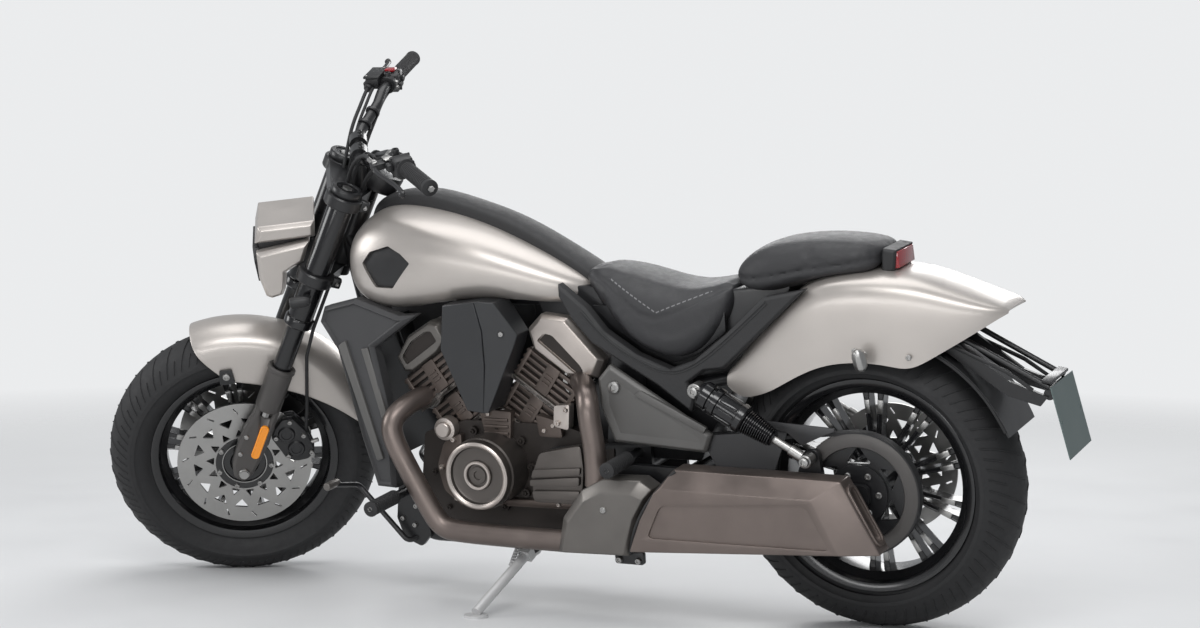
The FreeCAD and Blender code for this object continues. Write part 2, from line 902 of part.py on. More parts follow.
def fork_shoes():
    """Leaf-shaped castings that hold the axle and the inner tubes."""
    outline = [(-0.11, 0.0), (-0.1, 0.3), (0.2, 0.46), (0.6, 0.48), (1.0, 0.42), (1.0, -0.42), (0.62, -0.42), (0.2, -0.3)]
    points = []
    for along, across in outline:
        point = front_centre + steering_up * (along * s.shoe_length) + steering_ahead * (across * s.shoe_width)
        points.append(point)
    half = s.shoe_depth / 2
    blade = slab(points, s.fork_half_spacing - half, s.fork_half_spacing + half, s.shoe_width / 8)
    cup = rod(on_leg(s.shoe_length * 0.78), on_leg(s.shoe_length * 1.3), s.shoe_cup_radius)
    shoe = fused([blade, cup])
    shoe = shoe.cut(rod(on_leg(s.shoe_length * 0.9), on_leg(s.fork_top), s.inner_tube_radius))
    far = s.fork_half_spacing + s.shoe_depth
    shoe = shoe.cut(rod(front_centre, front_centre + Vector(0, far, 0), s.front_axle_radius))
    return both_sides(shoe)


def fork_tubes():
    """Inner tubes and, above them, the thicker outer tubes with their collars."""
    start = on_leg(s.outer_tube_start)
    collar_end = on_leg(s.outer_tube_start + s.fork_collar_height)
    leg = fused(
        [
            rod(on_leg(s.shoe_length * 0.9), on_leg(s.outer_tube_start), s.inner_tube_radius),
            rod(start, on_leg(s.fork_top), s.outer_tube_radius),
            rod(start, collar_end, s.fork_collar_radius),
        ]
    )
    return both_sides(leg)


def yoke_plate(height):
    """A clamp plate across both legs and the steering stem."""
    legs = [on_leg(height, side) for side in (1, -1)]
    reach = steering_up * s.yoke_thickness
    stem = on_axis(height)
    rim_radius = s.outer_tube_radius + s.yoke_rim
    pieces = [rod(leg, leg + reach, rim_radius) for leg in legs]
    pieces.append(rod(stem, stem + reach, s.head_tube_radius))
    half = steering_ahead * (s.outer_tube_radius + s.yoke_rim / 3)
    corners = [
        legs[0] + half,
        legs[1] + half,
        legs[1] - half,
        stem - steering_ahead * s.stem_radius - Vector(0, s.stem_radius * 1.3, 0),
        stem - steering_ahead * s.stem_radius + Vector(0, s.stem_radius * 1.3, 0),
        legs[0] - half,
    ]
    web = Part.Face(Part.makePolygon(corners + corners[:1])).extrude(reach)
    plate = fused(pieces + [web])
    for leg in legs:
        plate = plate.cut(rod(leg - reach, leg + reach * 2, s.outer_tube_radius))
    return plate


def yokes():
    """Both clamp plates on the stem that turns in the head tube."""
    top = s.upper_yoke_place + s.yoke_thickness
    stem = rod(on_axis(s.lower_yoke_place), on_axis(top), s.stem_radius)
    lower = on_leg(s.lower_yoke_place) + steering_up * (s.yoke_thickness / 4)
    half = s.lamp_stay_half_width
    stay = Part.makeBox(s.headlight_front_x - lower.x, 2 * half, s.yoke_thickness / 2, Vector(lower.x, -half, lower.z))
    return fused([yoke_plate(s.lower_yoke_place), yoke_plate(s.upper_yoke_place), stem, stay])


def bar_points(side=1):
    centre = Vector(s.bar_centre_x, 0, s.bar_centre_z)
    end = Vector(s.bar_end_x, side * s.bar_end_y, s.bar_end_z)
    clamp = centre + Vector(0, side * s.bar_clamp_half, 0)
    drop = (centre.x - end.x) * 0.36
    knee = Vector(centre.x - drop, side * s.bar_end_y * 0.4, (centre.z * 0.25 + end.z * 0.75))
    hand = Vector(centre.x - drop * 1.3, side * s.bar_end_y * 0.5, end.z + 2 * s.stem_radius / 5)
    return clamp, knee, hand, end


def grip_span():
    """Inner end and outer end of the left grip on the bar's last run."""
    hand, end = bar_points()[2:]
    along = hand - end
    along.normalize()
    return end + along * s.grip_length, end


def handlebar():
    left = list(bar_points())
    right = list(bar_points(-1))
    bar = tube(right[::-1] + left, s.bar_radius, s.bar_bend)
    for side in (1, -1):
        inner, outer = grip_span()
        inner.y *= side
        outer.y *= side
        bar = bar.cut(rod(inner, outer + (outer - inner), s.bar_radius * 2))
    return bar


def risers():
    """Two posts from the upper yoke, each with a cap around the bar."""
    pieces = []
    for side in (1, -1):
        top = Vector(s.bar_centre_x, side * s.riser_half_spacing, s.bar_centre_z)
        foot = on_axis(s.upper_yoke_place + s.yoke_thickness / 2) + steering_ahead * s.stem_radius
        foot.y = top.y
        pieces.append(rod(foot, top, s.riser_width / 2))
        half = Vector(0, s.riser_width * 0.6, 0)
        pieces.append(rod(top - half, top + half, s.riser_width * 0.6))
    return pieces


def front_fender():
    """A crowned arch round the tyre with deep rounded skirts."""
    outer = s.front_fender_radius
    half = s.front_fender_half_width
    wall = s.front_fender_wall

    def arch(extra):
        shoulder = Vector(0, half - extra, outer * 0.9)
        section = [
            Vector(0, half - extra, s.front_fender_skirt_radius - extra * 4),
            shoulder,
            Vector(0, (half - extra) * 0.62, outer * 0.985 - extra),
            Vector(0, 0, outer - extra),
        ]
        curve = Part.BSplineCurve()
        curve.interpolate([section[1], section[2], section[3], Vector(0, -section[2].y, section[2].z), Vector(0, -shoulder.y, shoulder.z)])
        low = Vector(0, -section[0].y, section[0].z)
        edges = [
            Part.LineSegment(section[0], shoulder).toShape(),
            curve.toShape(),
            Part.LineSegment(Vector(0, -shoulder.y, shoulder.z), low).toShape(),
            Part.LineSegment(low, section[0]).toShape(),
        ]
        face = Part.Face(Part.Wire(edges))
        turn = s.front_fender_nose_angle + s.front_fender_tail_angle
        face.rotate(Vector(), Vector(0, 1, 0), s.front_fender_nose_angle)
        solid = face.revolve(Vector(), Vector(0, 1, 0), -turn)
        return solid

    shell = arch(0).cut(arch(wall))
    shell.translate(front_centre)
    skirt_shares = [
        (11.5, 0.88),
        (8.5, 0.76),
        (5, 0.69),
        (1, 0.64),
        (-5, 0.617),
        (-14, 0.608),
        (-26, 0.611),
        (-38, 0.631),
        (-50, 0.673),
        (-62, 0.735),
        (-72, 0.802),
        (-80, 0.87),
    ]
    line = []
    for angle, share in [(s.front_fender_nose_angle * 2, 1)] + skirt_shares + [(-s.front_fender_tail_angle, 0.96)]:
        line.append(front_centre + Vector(sine(angle), 0, cosine(angle)) * (outer * share))
    below = front_centre + Vector(sine(-s.front_fender_tail_angle * 1.1), 0, 0) * outer
    return shell.cut(slab(line + [below, front_centre], -half * 1.1, half * 1.1))


def headlight():
    """Lower cowl of the headlight, tapering back to the fork, and the lens face."""
    rear, front = s.headlight_rear_x, s.headlight_front_x
    base, height = s.headlight_base_z, s.headlight_height
    half = s.headlight_half_width
    outline = [(0.0, 1.0), (0.17, 0.6), (0.556, 0.42), (0.65, 0.12), (0.89, 0.0), (1.0, 0.4), (0.97, 0.9)]
    shell = slab(side_points(outline, rear, base, front - rear, height), -half, half, height / 14)
    return shell


def visor():
    outline = [(0.0, 0.7), (0.03, 0.0), (0.98, 0.0), (1.0, 0.3), (0.9, 1.0), (0.0, 1.0)]
    length = s.headlight_front_x - s.visor_rear_x
    points = side_points(outline, s.visor_rear_x, s.visor_base_z, length, s.visor_height)
    brow = slab(points, -s.headlight_half_width * 0.9, s.headlight_half_width * 0.9)
    half = s.headlight_half_width * 0.6
    gap = s.visor_base_z - s.headlight_base_z - s.headlight_height
    depth = (s.headlight_front_x - s.headlight_rear_x) * 0.6
    corner = Vector(s.headlight_rear_x + depth / 3, -half, s.visor_base_z - gap * 2)
    return fused([brow, Part.makeBox(depth, 2 * half, gap * 3, corner)])


bar = handlebar()
grips = []
for side in (1, -1):
    inner, outer = grip_span()
    inner.y *= side
    outer.y *= side
    grips.append(rod(inner, outer, s.grip_radius))

clamps = fused([yokes()] + risers())
clamps = clamps.cut(rod(bar_points(-1)[0], bar_points()[0], s.bar_radius))
clamps = max(clamps.cut(headlight()).Solids, key=lambda solid: solid.Volume)

feature("fork_shoes", fork_shoes(), "steering")
feature("fork_tubes", fork_tubes(), "steering")
feature("yokes", clamps, "steering")
feature("handlebar", bar, "steering")
feature("grips", Part.makeCompound(grips), "steering")
feature("front_fender", front_fender(), "steering")
feature("headlight", fused([headlight(), visor()]), "steering")


def caliper_outline(inner, outer, start, end):
    """A sector of a ring about the wheel's axis, its angles counted from straight ahead."""
    corners = []
    for radius, angle in ((inner, start), (outer, start), (outer, (start + end) / 2), (outer, end), (inner, end)):
        corners.append(front_centre + Vector(radius * cosine(angle), 0, radius * sine(angle)))
    return corners


def calipers():
    """Radial calipers behind the fork legs, slotted for the discs, on arms from the shoes."""
    outline = caliper_outline(
        s.caliper_inner_radius, s.caliper_outer_radius, s.caliper_start_angle, s.caliper_end_angle
    )
    block = slab(outline, s.caliper_inner_place, s.caliper_outer_place, s.caliper_slot)
    gap = s.caliper_slot / 2
    disc_room = rod(
        front_centre + Vector(0, (s.front_hub_width + s.disc_thickness) / 2 - gap, 0),
        front_centre + Vector(0, (s.front_hub_width + s.disc_thickness) / 2 + gap, 0),
        s.front_disc_radius + gap,
    )
    block = block.cut(disc_room)
    lug = [
        outline[0],
        outline[4],
        front_centre + steering_up * (s.shoe_length * 0.3),
        front_centre + steering_up * (s.shoe_length * 0.72),
    ]
    arm = slab(lug, s.caliper_outer_place - s.caliper_slot, s.caliper_outer_place)
    bosses = []
    middle_radius = (s.caliper_inner_radius + s.caliper_outer_radius) / 2
    for share in (0.28, 0.72):
        angle = s.caliper_start_angle + share * (s.caliper_end_angle - s.caliper_start_angle)
        foot = front_centre + Vector(cosine(angle), 0, sine(angle)) * middle_radius
        foot.y = s.caliper_outer_place - s.caliper_slot / 2
        bosses.append(rod(foot, foot + Vector(0, s.caliper_slot * 0.9, 0), s.caliper_slot * 1.6))
    return both_sides(fused([block, arm] + bosses).cut(shoes))


def reflectors():
    """Long rounded reflectors on the outer faces of the shoes."""
    place = s.fork_half_spacing + s.shoe_depth / 2
    half = s.reflector_length / 2
    middle = front_centre + steering_up * (s.shoe_length * 0.42)
    middle.y = 0
    corners = []
    for along, across in ((-1, -0.5), (-1, 0.5), (1, 0.5), (1, -0.5)):
        corners.append(middle + steering_up * (along * half) + steering_ahead * (across * s.reflector_width))
    return both_sides(slab(corners, place, place + s.reflector_thickness, s.reflector_width * 0.49))


def brake_hoses():
    """Hoses from the calipers up behind the legs to the lower yoke."""
    back = steering_ahead * (s.outer_tube_radius + s.hose_radius * 2)
    mid = (s.caliper_start_angle + s.caliper_end_angle) / 2
    start = front_centre + Vector(cosine(mid), 0, sine(mid)) * s.caliper_outer_radius
    start.y = s.caliper_outer_place - s.caliper_slot
    path = [
        start,
        start + Vector(-s.hose_bend * 0.2, s.hose_radius, s.hose_bend),
        on_leg(s.shoe_length * 1.5) - back * 1.2,
        on_leg(s.outer_tube_start) - back,
        on_leg(s.lower_yoke_place) - back,
    ]
    return both_sides(tube(path, s.hose_radius, s.hose_bend).cut(hoods))


def mirror_boss(side):
    """Mouth of the mirror's threaded hole on a lever perch, its way out, depth and radius."""
    inner, outer = grip_span()
    along = inner - outer
    along.normalize()
    base = inner + along * (s.switch_length + s.switch_radius / 2)
    base.y *= side
    up = Vector(0, 0, 1)
    return base + up * (s.switch_radius * 0.8 + s.mirror_boss_height), up, s.mirror_thread_depth, s.mirror_thread_radius


def switchgear():
    """Switch housings, lever perches and levers inboard of the grips."""
    pieces = []
    inner, outer = grip_span()
    along = inner - outer
    along.normalize()
    ahead = Vector(0, 0, 1).cross(along)
    ahead.normalize()
    if ahead.x < 0:
        ahead = ahead * -1
    housing = rod(inner, inner + along * s.switch_length, s.switch_radius)
    perch = rod(
        inner + along * s.switch_length,
        inner + along * (s.switch_length + s.switch_radius),
        s.switch_radius * 0.8,
    )
    root = inner + along * (s.switch_length + s.switch_radius / 2)
    knee = root + ahead * s.lever_reach
    lever = tube(
        [root + ahead * (s.bar_radius * 1.1), knee, knee - along * (s.lever_length * 0.6) - ahead * 4, knee - along * s.lever_length],
        s.lever_radius,
        s.lever_reach / 3,
    )
    mouth, up, depth, radius = mirror_boss(1)
    boss = rod(mouth, mouth - up * (s.mirror_boss_height + s.switch_radius * 0.6), radius * 1.8)
    whole = fused([housing, perch, lever, boss]).cut(bar).cut(rod(mouth + up, mouth - up * depth, radius))
    pair = [whole, mirrored(whole)]
    box = Part.makeBox(s.reservoir_height, s.reservoir_length, s.reservoir_height)
    place = inner + along * (s.switch_length + s.switch_radius * 0.2) + ahead * s.grip_radius
    box.translate(Vector(place.x - s.reservoir_height / 4, -place.y - s.reservoir_length / 2, place.z - s.switch_radius * 0.2))
    pair[1] = fused([pair[1], box]).cut(bar)
    mouth = mirror_boss(-1)[0]
    pair[1] = pair[1].cut(rod(mouth + up * (s.reservoir_height * 2), mouth - up * depth, radius))
    return Part.makeCompound(pair)


def lens():
    half, high = s.lens_half_width, s.lens_height / 2
    centre = Vector(s.headlight_front_x, 0, s.headlight_base_z + s.headlight_height * 0.58)
    outline = [(-1.0, 0.4), (-0.8, 1.0), (0.8, 1.0), (1.0, 0.4), (0.62, -1.0), (-0.62, -1.0)]
    points = [centre + Vector(0, a * half, b * high) for a, b in outline]
    face = Part.Face(wire(rounded(points, high / 5, True)))
    return face.extrude(Vector(s.lens_thickness, 0, 0))


def front_indicators():
    """Small lamps on stalks from the outer tubes, either side of the headlight."""
    root = on_leg(s.lower_yoke_place - s.yoke_thickness) + Vector(0, s.outer_tube_radius * 0.8, 0)
    tip = Vector(root.x + s.indicator_length / 2, s.front_indicator_place, root.z)
    stalk = rod(root, tip, s.indicator_stalk_radius)
    lamp = rod(tip - Vector(s.indicator_length / 2, 0, 0), tip + Vector(s.indicator_length / 2, 0, 0), s.indicator_radius)
    return both_sides(fused([stalk, lamp]).cut(hoods))


hoods = fork_tubes()
shoes = fork_shoes()
caliper_shape = calipers()
feature("front_calipers", caliper_shape, "steering")
feature("fork_reflectors", reflectors(), "steering")
feature("brake_hoses", brake_hoses().cut(caliper_shape).cut(clamps), "steering")
feature("switchgear", switchgear(), "steering")
feature("headlight_lens", lens(), "steering")
feature("front_indicators", front_indicators(), "steering")


def instrument():
    """Round clock on a stay behind the upper yoke, facing the rider."""
    centre = Vector(s.instrument_x, 0, s.instrument_z)
    facing = Vector(-sine(s.instrument_tilt_angle), 0, cosine(s.instrument_tilt_angle))
    back = centre - facing * s.instrument_depth
    case = rod(back, centre, s.instrument_radius)
    mount = on_axis(s.upper_yoke_place + s.yoke_thickness)
    stay = rod(mount, back + (centre - back) * 0.3, s.stem_radius * 0.7)
    return fused([case, stay]).cut(clamps)


feature("instrument", instrument(), "steering")


# Engine


def bank(lean, outline_shares, slot_shares):
    """One cylinder's barrel with two tiers of fins, and its faceted head, leaning from the crank."""
    half_length = s.barrel_half_length
    half_width = s.barrel_half_width
    height = s.barrel_top - s.barrel_base
    step = s.barrel_base + height / 2
    pieces = []
    for low, share in ((s.barrel_base, 0.86), (step, 1)):
        tier_length, tier_width = half_length * share, half_width * share
        corner = Vector(-tier_length, -tier_width, low)
        pieces.append(Part.makeBox(2 * tier_length, 2 * tier_width, height / 2, corner))
    pitch = height / s.fin_count
    for number in range(int(s.fin_count)):
        low = s.barrel_base + (number + 0.5) * pitch
        share = 1 if low > step - s.fin_thickness / 2 else 0.86
        fin_length, fin_width = half_length * share + s.fin_depth, half_width * share + s.fin_depth
        pieces.append(Part.makeBox(2 * fin_length, 2 * fin_width, s.fin_thickness, Vector(-fin_length, -fin_width, low)))
    barrel = fused(pieces)

    def placed(shares):
        return [Vector(a * s.head_half_length, 0, s.barrel_top + b * s.head_height) for a, b in shares]

    side = faceted(placed(outline_shares), 0, s.head_half_width, s.head_height / 10, 0.2)
    depth = s.head_height / 8
    side = side.cut(slab(placed(slot_shares), s.head_half_width - depth, s.head_half_width + depth))
    head = fused([side, mirrored(side)])
    for shape in (barrel, head):
        shape.rotate(Vector(), Vector(0, 1, 0), lean)
        shape.translate(crank_centre)
    return barrel, head


def crankcase():
    outline = [(0.0, 0.35), (0.0, 0.85), (0.25, 1.0), (0.75, 1.0), (0.97, 0.88), (1.0, 0.5), (0.86, 0.1), (0.72, 0.0), (0.3, 0.0), (0.08, 0.12)]
    points = side_points(outline, s.crankcase_rear_x, s.crankcase_base_z, s.crankcase_length, s.crankcase_height)
    block = slab(points, -s.crankcase_half_width, s.crankcase_half_width, s.rail_radius)
    for side in (1, -1):
        start = Vector(s.cradle_rear_x - s.rail_bend, side * s.cradle_half_spacing, s.cradle_z)
        end = start + Vector(s.crankcase_length * 2, 0, 0)
        block = block.cut(rod(start, end, s.rail_radius * 1.3))
    sprocket = Vector(s.sprocket_x, s.crankcase_half_width, s.sprocket_z)
    reach = Vector(0, s.pulley_place + s.belt_width / 2 - s.crankcase_half_width, 0)
    return fused([block, rod(sprocket, sprocket + reach, s.sprocket_radius - s.belt_thickness - s.belt_gap)])


front_outline_shares = [
    (-0.85, 0.11),
    (-0.89, 0.47),
    (-0.7, 0.64),
    (0.02, 0.68),
    (0.62, 0.47),
    (0.66, 0.11),
    (0.47, 0),
    (-0.47, 0),
]
front_slot_shares = [(-0.6, 0.19), (-0.62, 0.4), (-0.5, 0.48), (0, 0.5), (0.42, 0.36), (0.44, 0.19)]
rear_outline_shares = [(-1, 0.3), (-0.92, 0.72), (0.4, 1), (1, 0.72), (1.06, 0.28), (0.7, 0), (-0.42, 0)]
rear_slot_shares = [(0.7, 0.26), (0.62, 0.51), (0.4, 0.57), (-0.49, 0.42), (-0.66, 0.34), (-0.5, 0.19)]
front_barrel, front_head = bank(s.bank_angle, front_outline_shares, front_slot_shares)
rear_barrel, rear_head = bank(-s.bank_angle, rear_outline_shares, rear_slot_shares)
block = crankcase()
front_barrel = front_barrel.cut(block)
rear_barrel = rear_barrel.cut(block).cut(front_barrel)


def generator_cover():
    """Round cover with a bright outer ring, a flat sunk face and a hub."""
    shares = [
        (0, 0.86),
        (0.11, 0.86),
        (0.13, 0.89),
        (0.24, 0.89),
        (0.25, 0.87),
        (0.3, 0.87),
        (0.31, 0.92),
        (0.34, 0.94),
        (0.39, 0.94),
        (0.41, 0.91),
        (0.43, 0.86),
        (0.73, 0.85),
        (0.79, 0.9),
        (0.83, 0.96),
        (0.88, 0.98),
        (0.94, 0.95),
        (0.96, 0.89),
        (0.96, 0.76),
        (1, 0.72),
        (1, 0),
        (0, 0),
    ]
    base = crank_centre + Vector(0, s.crankcase_half_width, 0)
    return turned(shares, s.generator_radius, s.generator_width, base, Vector(0, 1, 0))


def clutch_cover():
    shares = [(0, 0.92), (0.31, 0.92), (0.35, 0.83), (0.81, 0.81), (0.88, 0.92), (0.96, 0.89), (1, 0.78), (1, 0), (0, 0)]
    base = Vector(s.clutch_x, -s.crankcase_half_width, s.crank_z)
    return turned(shares, s.clutch_radius, s.clutch_width, base, Vector(0, -1, 0))


def plan_wedge(ridge_x, end_x, outer, fall, low, height):
    """What slopes a side face away from an upright ridge: a wedge seen from above."""
    beyond = Vector(0, fall, 0)
    points = [
        Vector(ridge_x, outer, low),
        Vector(ridge_x, outer, low) + beyond,
        Vector(end_x, outer, low) + beyond,
        Vector(end_x, outer - fall, low),
    ]
    return Part.Face(Part.makePolygon(points + [points[0]])).extrude(Vector(0, 0, height))


def intake_cover():
    """V-shaped cover between the two banks, one on each side, ridged towards its rear edge."""
    outline = [(1.0, 0.97), (0.27, 1.0), (0.0, 0.7), (0.06, 0.58), (0.4, 0.0), (0.72, 0.0), (1.08, 0.55)]
    points = side_points(outline, s.intake_rear_x, s.intake_base_z, s.intake_length, s.intake_height)
    cover = slab(points, s.intake_inner_place, s.intake_outer_place)
    ridge = s.intake_rear_x + s.intake_length * 0.43
    low, height = s.intake_base_z - s.intake_height / 2, s.intake_height * 2
    behind, ahead = ridge - s.intake_length * 0.6, ridge + s.intake_length * 0.8
    depth = s.intake_outer_place - s.intake_inner_place
    cover = cover.cut(plan_wedge(ridge, behind, s.intake_outer_place, depth * 0.45, low, height))
    cover = cover.cut(plan_wedge(ridge, ahead, s.intake_outer_place, depth * 0.16, low, height))
    return both_sides(cover)


def sprocket_cover():
    """Cover over the sprocket with stepped bands, on two posts from the crankcase."""
    outline = [(1.0, 0.4), (0.8, 0.8), (0.0, 1.0), (0.04, 0.24), (0.95, 0.0)]
    bands = [
        ([(0.86, 0.62), (0.8, 0.74), (0.03, 0.92), (0.03, 0.78)], 0.1),
        ([(0.93, 0.42), (0.88, 0.56), (0.04, 0.7), (0.04, 0.54)], 0.18),
        ([(0.94, 0.22), (0.96, 0.36), (0.06, 0.48), (0.07, 0.34)], 0.26),
    ]
    length, height = s.sprocket_cover_length, s.sprocket_cover_height
    rear, base = s.sprocket_x - length * 0.58, s.sprocket_z - height / 2
    inner = s.pulley_place + s.belt_width / 2 + s.disc_thickness
    outer = inner + s.sprocket_cover_thickness
    pieces = [slab(side_points(outline, rear, base, length, height), inner, outer, height / 12)]
    for shares, rise in bands:
        top = outer + s.sprocket_cover_thickness * rise
        pieces.append(slab(side_points(shares, rear, base, length, height), outer - s.cover_post_radius, top))
    for angle, reach in ((-22, s.sprocket_radius + s.cover_post_radius * 2), (180, s.sprocket_radius * 1.15)):
        foot = Vector(s.sprocket_x + reach * cosine(angle), s.crankcase_half_width, s.sprocket_z + reach * sine(angle))
        top = Vector(foot.x, inner + s.sprocket_cover_thickness / 2, foot.z)
        pieces.append(rod(foot, top, s.cover_post_radius))
    return fused(pieces)


# Frame


def main_frame():
    """Head tube, twin top rails, downtubes and cradle, pivot plates and rear subframe."""
    gap = s.head_tube_gap
    low = on_axis(s.lower_yoke_place + s.yoke_thickness + gap)
    high = on_axis(s.upper_yoke_place - gap)
    pieces = [rod(low, high, s.head_tube_radius)]
    middle = on_axis((s.lower_yoke_place + s.upper_yoke_place) / 2)
    radius, bend = s.rail_radius, s.rail_bend
    for side in (1, -1):
        rail = Vector(0, side * s.rail_half_spacing, 0)
        cradle = Vector(0, side * s.cradle_half_spacing, 0)
        sub = Vector(0, side * s.subframe_half_spacing, 0)
        top = [
            middle + Vector(0, side * radius, 0),
            Vector(middle.x - 120, 0, s.rail_z) + rail,
            Vector(s.tank_rear_x + 40, 0, s.rail_z) + rail,
            Vector(s.pivot_x + 20, 0, s.rail_z - 98) + sub,
            Vector(s.shock_top_x + 60, 0, s.shock_top_z - 14) + sub,
            Vector(s.shock_top_x - 60, 0, s.shock_top_z + s.rail_radius * 0.9) + sub,
            Vector(s.shock_top_x - 220, 0, s.pillion_base_z - 26) + sub,
            Vector(-40, 0, s.pillion_base_z - 20) + sub,
        ]
        pieces.append(tube(top, radius, bend))
        down = [
            middle + Vector(0, side * radius, 0),
            Vector(s.downtube_x + 60, 0, s.rail_z - 98) + rail,
            Vector(s.downtube_x, 0, s.cradle_z + 150) + cradle,
            Vector(s.downtube_x - 60, 0, s.cradle_z) + cradle,
            Vector(s.cradle_rear_x, 0, s.cradle_z) + cradle,
            Vector(s.pivot_x, 0, s.pivot_z - 60) + cradle,
        ]
        pieces.append(tube(down, radius, bend))
    whole = fused(pieces)
    return whole.cut(rod(low - steering_up * 5, high + steering_up * 5, s.stem_radius + s.bearing_gap))


def pivot_plates():
    outline = [(0.0, 0.0), (0.1, 0.6), (0.2, 1.0), (0.8, 1.0), (1.0, 0.55), (0.9, 0.0)]
    points = side_points(outline, s.pivot_x - 50, s.cradle_z, 110, s.rail_z - 98 - s.cradle_z)
    return both_sides(slab(points, s.plate_place, s.plate_place + s.plate_thickness, 12))


def swingarm():
    """Two arms from the pivot to the axle, joined ahead of the tyre."""
    half = s.arm_height / 2
    points = [
        Vector(s.pivot_x + half, 0, s.pivot_z + half),
        Vector(s.pivot_x + half, 0, s.pivot_z - half),
        Vector(-half, 0, s.rear_tyre_radius - half * 0.8),
        Vector(-half, 0, s.rear_tyre_radius + half * 0.8),
        Vector(half * 2, 0, s.rear_tyre_radius + half),
    ]
    outer = s.arm_inner_place + s.arm_thickness
    arm = slab(points, s.arm_inner_place, outer, half / 2)
    lug = [
        Vector(s.shock_foot_x - half, 0, s.rear_tyre_radius),
        Vector(s.shock_foot_x - s.shock_eye_radius, 0, s.shock_foot_z + s.shock_eye_radius),
        Vector(s.shock_foot_x + s.shock_eye_radius, 0, s.shock_foot_z + s.shock_eye_radius),
        Vector(s.shock_foot_x + half * 1.6, 0, s.rear_tyre_radius),
    ]
    ear = slab(lug, s.arm_inner_place, outer, s.shock_eye_radius * 0.8)
    pieces = [arm, ear, mirrored(arm), mirrored(ear)]
    pivot = Vector(s.pivot_x, 0, s.pivot_z)
    side = Vector(0, outer, 0)
    pieces.append(rod(pivot - side, pivot + side, s.pivot_radius))
    cross = Vector(s.cross_member_x, 0, s.pivot_z - 6)
    pieces.append(rod(cross - side, cross + side, half * 0.8))
    whole = fused(pieces)
    reach = Vector(0, outer * 2, 0)
    return whole.cut(rod(rear_centre - reach, rear_centre + reach, s.rear_axle_radius))


def shocks():
    """Shock absorbers with a spring over the lower half, inclined on each side."""
    top = Vector(s.shock_top_x, s.shock_place, s.shock_top_z)
    foot = Vector(s.shock_foot_x, s.shock_place, s.shock_foot_z)
    along = foot - top
    length = along.Length
    along.normalize()
    body_end = top + along * (length * s.shock_body_share)
    start = top + along * (s.shock_eye_radius / 2)
    collar_shares = [(0, 0), (0.65, 0), (0.84, 0.05), (1, 0.11), (1, 0.22), (0.9, 0.24)]
    for number in range(4):
        low = 0.28 + 0.17 * number
        collar_shares += [(0.9, low), (1.04, low + 0.01), (1.04, low + 0.12), (0.9, low + 0.13)]
    collar_shares += [(1, 0.94), (1, 1), (0, 1)]
    pieces = [
        turned(collar_shares, s.shock_radius, (body_end - start).Length, start, along),
        rod(top - Vector(0, s.shock_eye_radius, 0), top + Vector(0, s.shock_eye_radius, 0), s.shock_eye_radius),
        rod(
            Vector(foot.x, s.arm_inner_place + s.arm_thickness, foot.z),
            foot + Vector(0, s.shock_eye_radius, 0),
            s.shock_eye_radius,
        ),
        rod(start, foot - along * s.shock_eye_radius * 0.6, s.shock_radius * 0.5),
    ]
    turns = int(s.spring_turns)
    run = length * (0.92 - s.shock_body_share) - s.shock_eye_radius
    pitch = run / turns
    for number in range(turns):
        place = body_end + along * (pitch * (number + 0.5))
        shrink = 1 - 0.25 * number / turns
        half = along * (pitch * s.spring_wire_share)
        pieces.append(rod(place - half, place + half, s.shock_radius * shrink))
    return both_sides(fused(pieces))


frame = main_frame()
plates = pivot_plates()
arm = swingarm()
frame = fused([frame, plates.Solids[0], plates.Solids[1], stand_lug()]).cut(arm)
block = block.cut(frame)
block = max(block.Solids, key=lambda solid: solid.Volume)
feature("crankcase", block, "chassis")
feature("cylinder_barrels", Part.makeCompound([front_barrel, rear_barrel]), "chassis")
feature("front_head", front_head, "chassis")
feature("rear_head", rear_head, "chassis")
feature("engine_covers", Part.makeCompound([generator_cover(), clutch_cover(), sprocket_cover()]), "chassis")

feature("main_frame", frame, "chassis")
feature("swingarm", arm, "chassis")
feature("side_stand", stand(), "side_stand")
shock = shocks()
feature("rear_shocks", shock, "chassis")


# Belt


def belt_loop(radius_rear, radius_front):
    """Area inside a tight band round the pulley and the sprocket."""
    far = Vector(s.sprocket_x, 0, s.sprocket_z)
    line = far - rear_centre
    distance = line.Length
    line.normalize()
    up = Vector(-line.z, 0, line.x)
    ratio = (radius_rear - radius_front) / distance
    rise = math.sqrt(1 - ratio * ratio)
    upper = line * ratio + up * rise
    lower = line * ratio - up * rise
    back = rear_centre - line * radius_rear
    ahead = far + line * radius_front
    edges = [
        Part.Arc(rear_centre + lower * radius_rear, back, rear_centre + upper * radius_rear),
        Part.LineSegment(rear_centre + upper * radius_rear, far + upper * radius_front),
        Part.Arc(far + upper * radius_front, ahead, far + lower * radius_front),
        Part.LineSegment(far + lower * radius_front, rear_centre + lower * radius_rear),
    ]
    return Part.Face(wire(edges))


def drive_belt():
    inner = s.pulley_place - s.belt_width / 2
    outer_loop = belt_loop(s.pulley_radius, s.sprocket_radius)
    inner_loop = belt_loop(s.pulley_radius - s.belt_thickness, s.sprocket_radius - s.belt_thickness)
    face = outer_loop.cut(inner_loop)
    face.translate(Vector(0, inner, 0))
    return face.extrude(Vector(0, s.belt_width, 0))


feature("drive_belt", drive_belt(), "chassis")


# Tank and seats


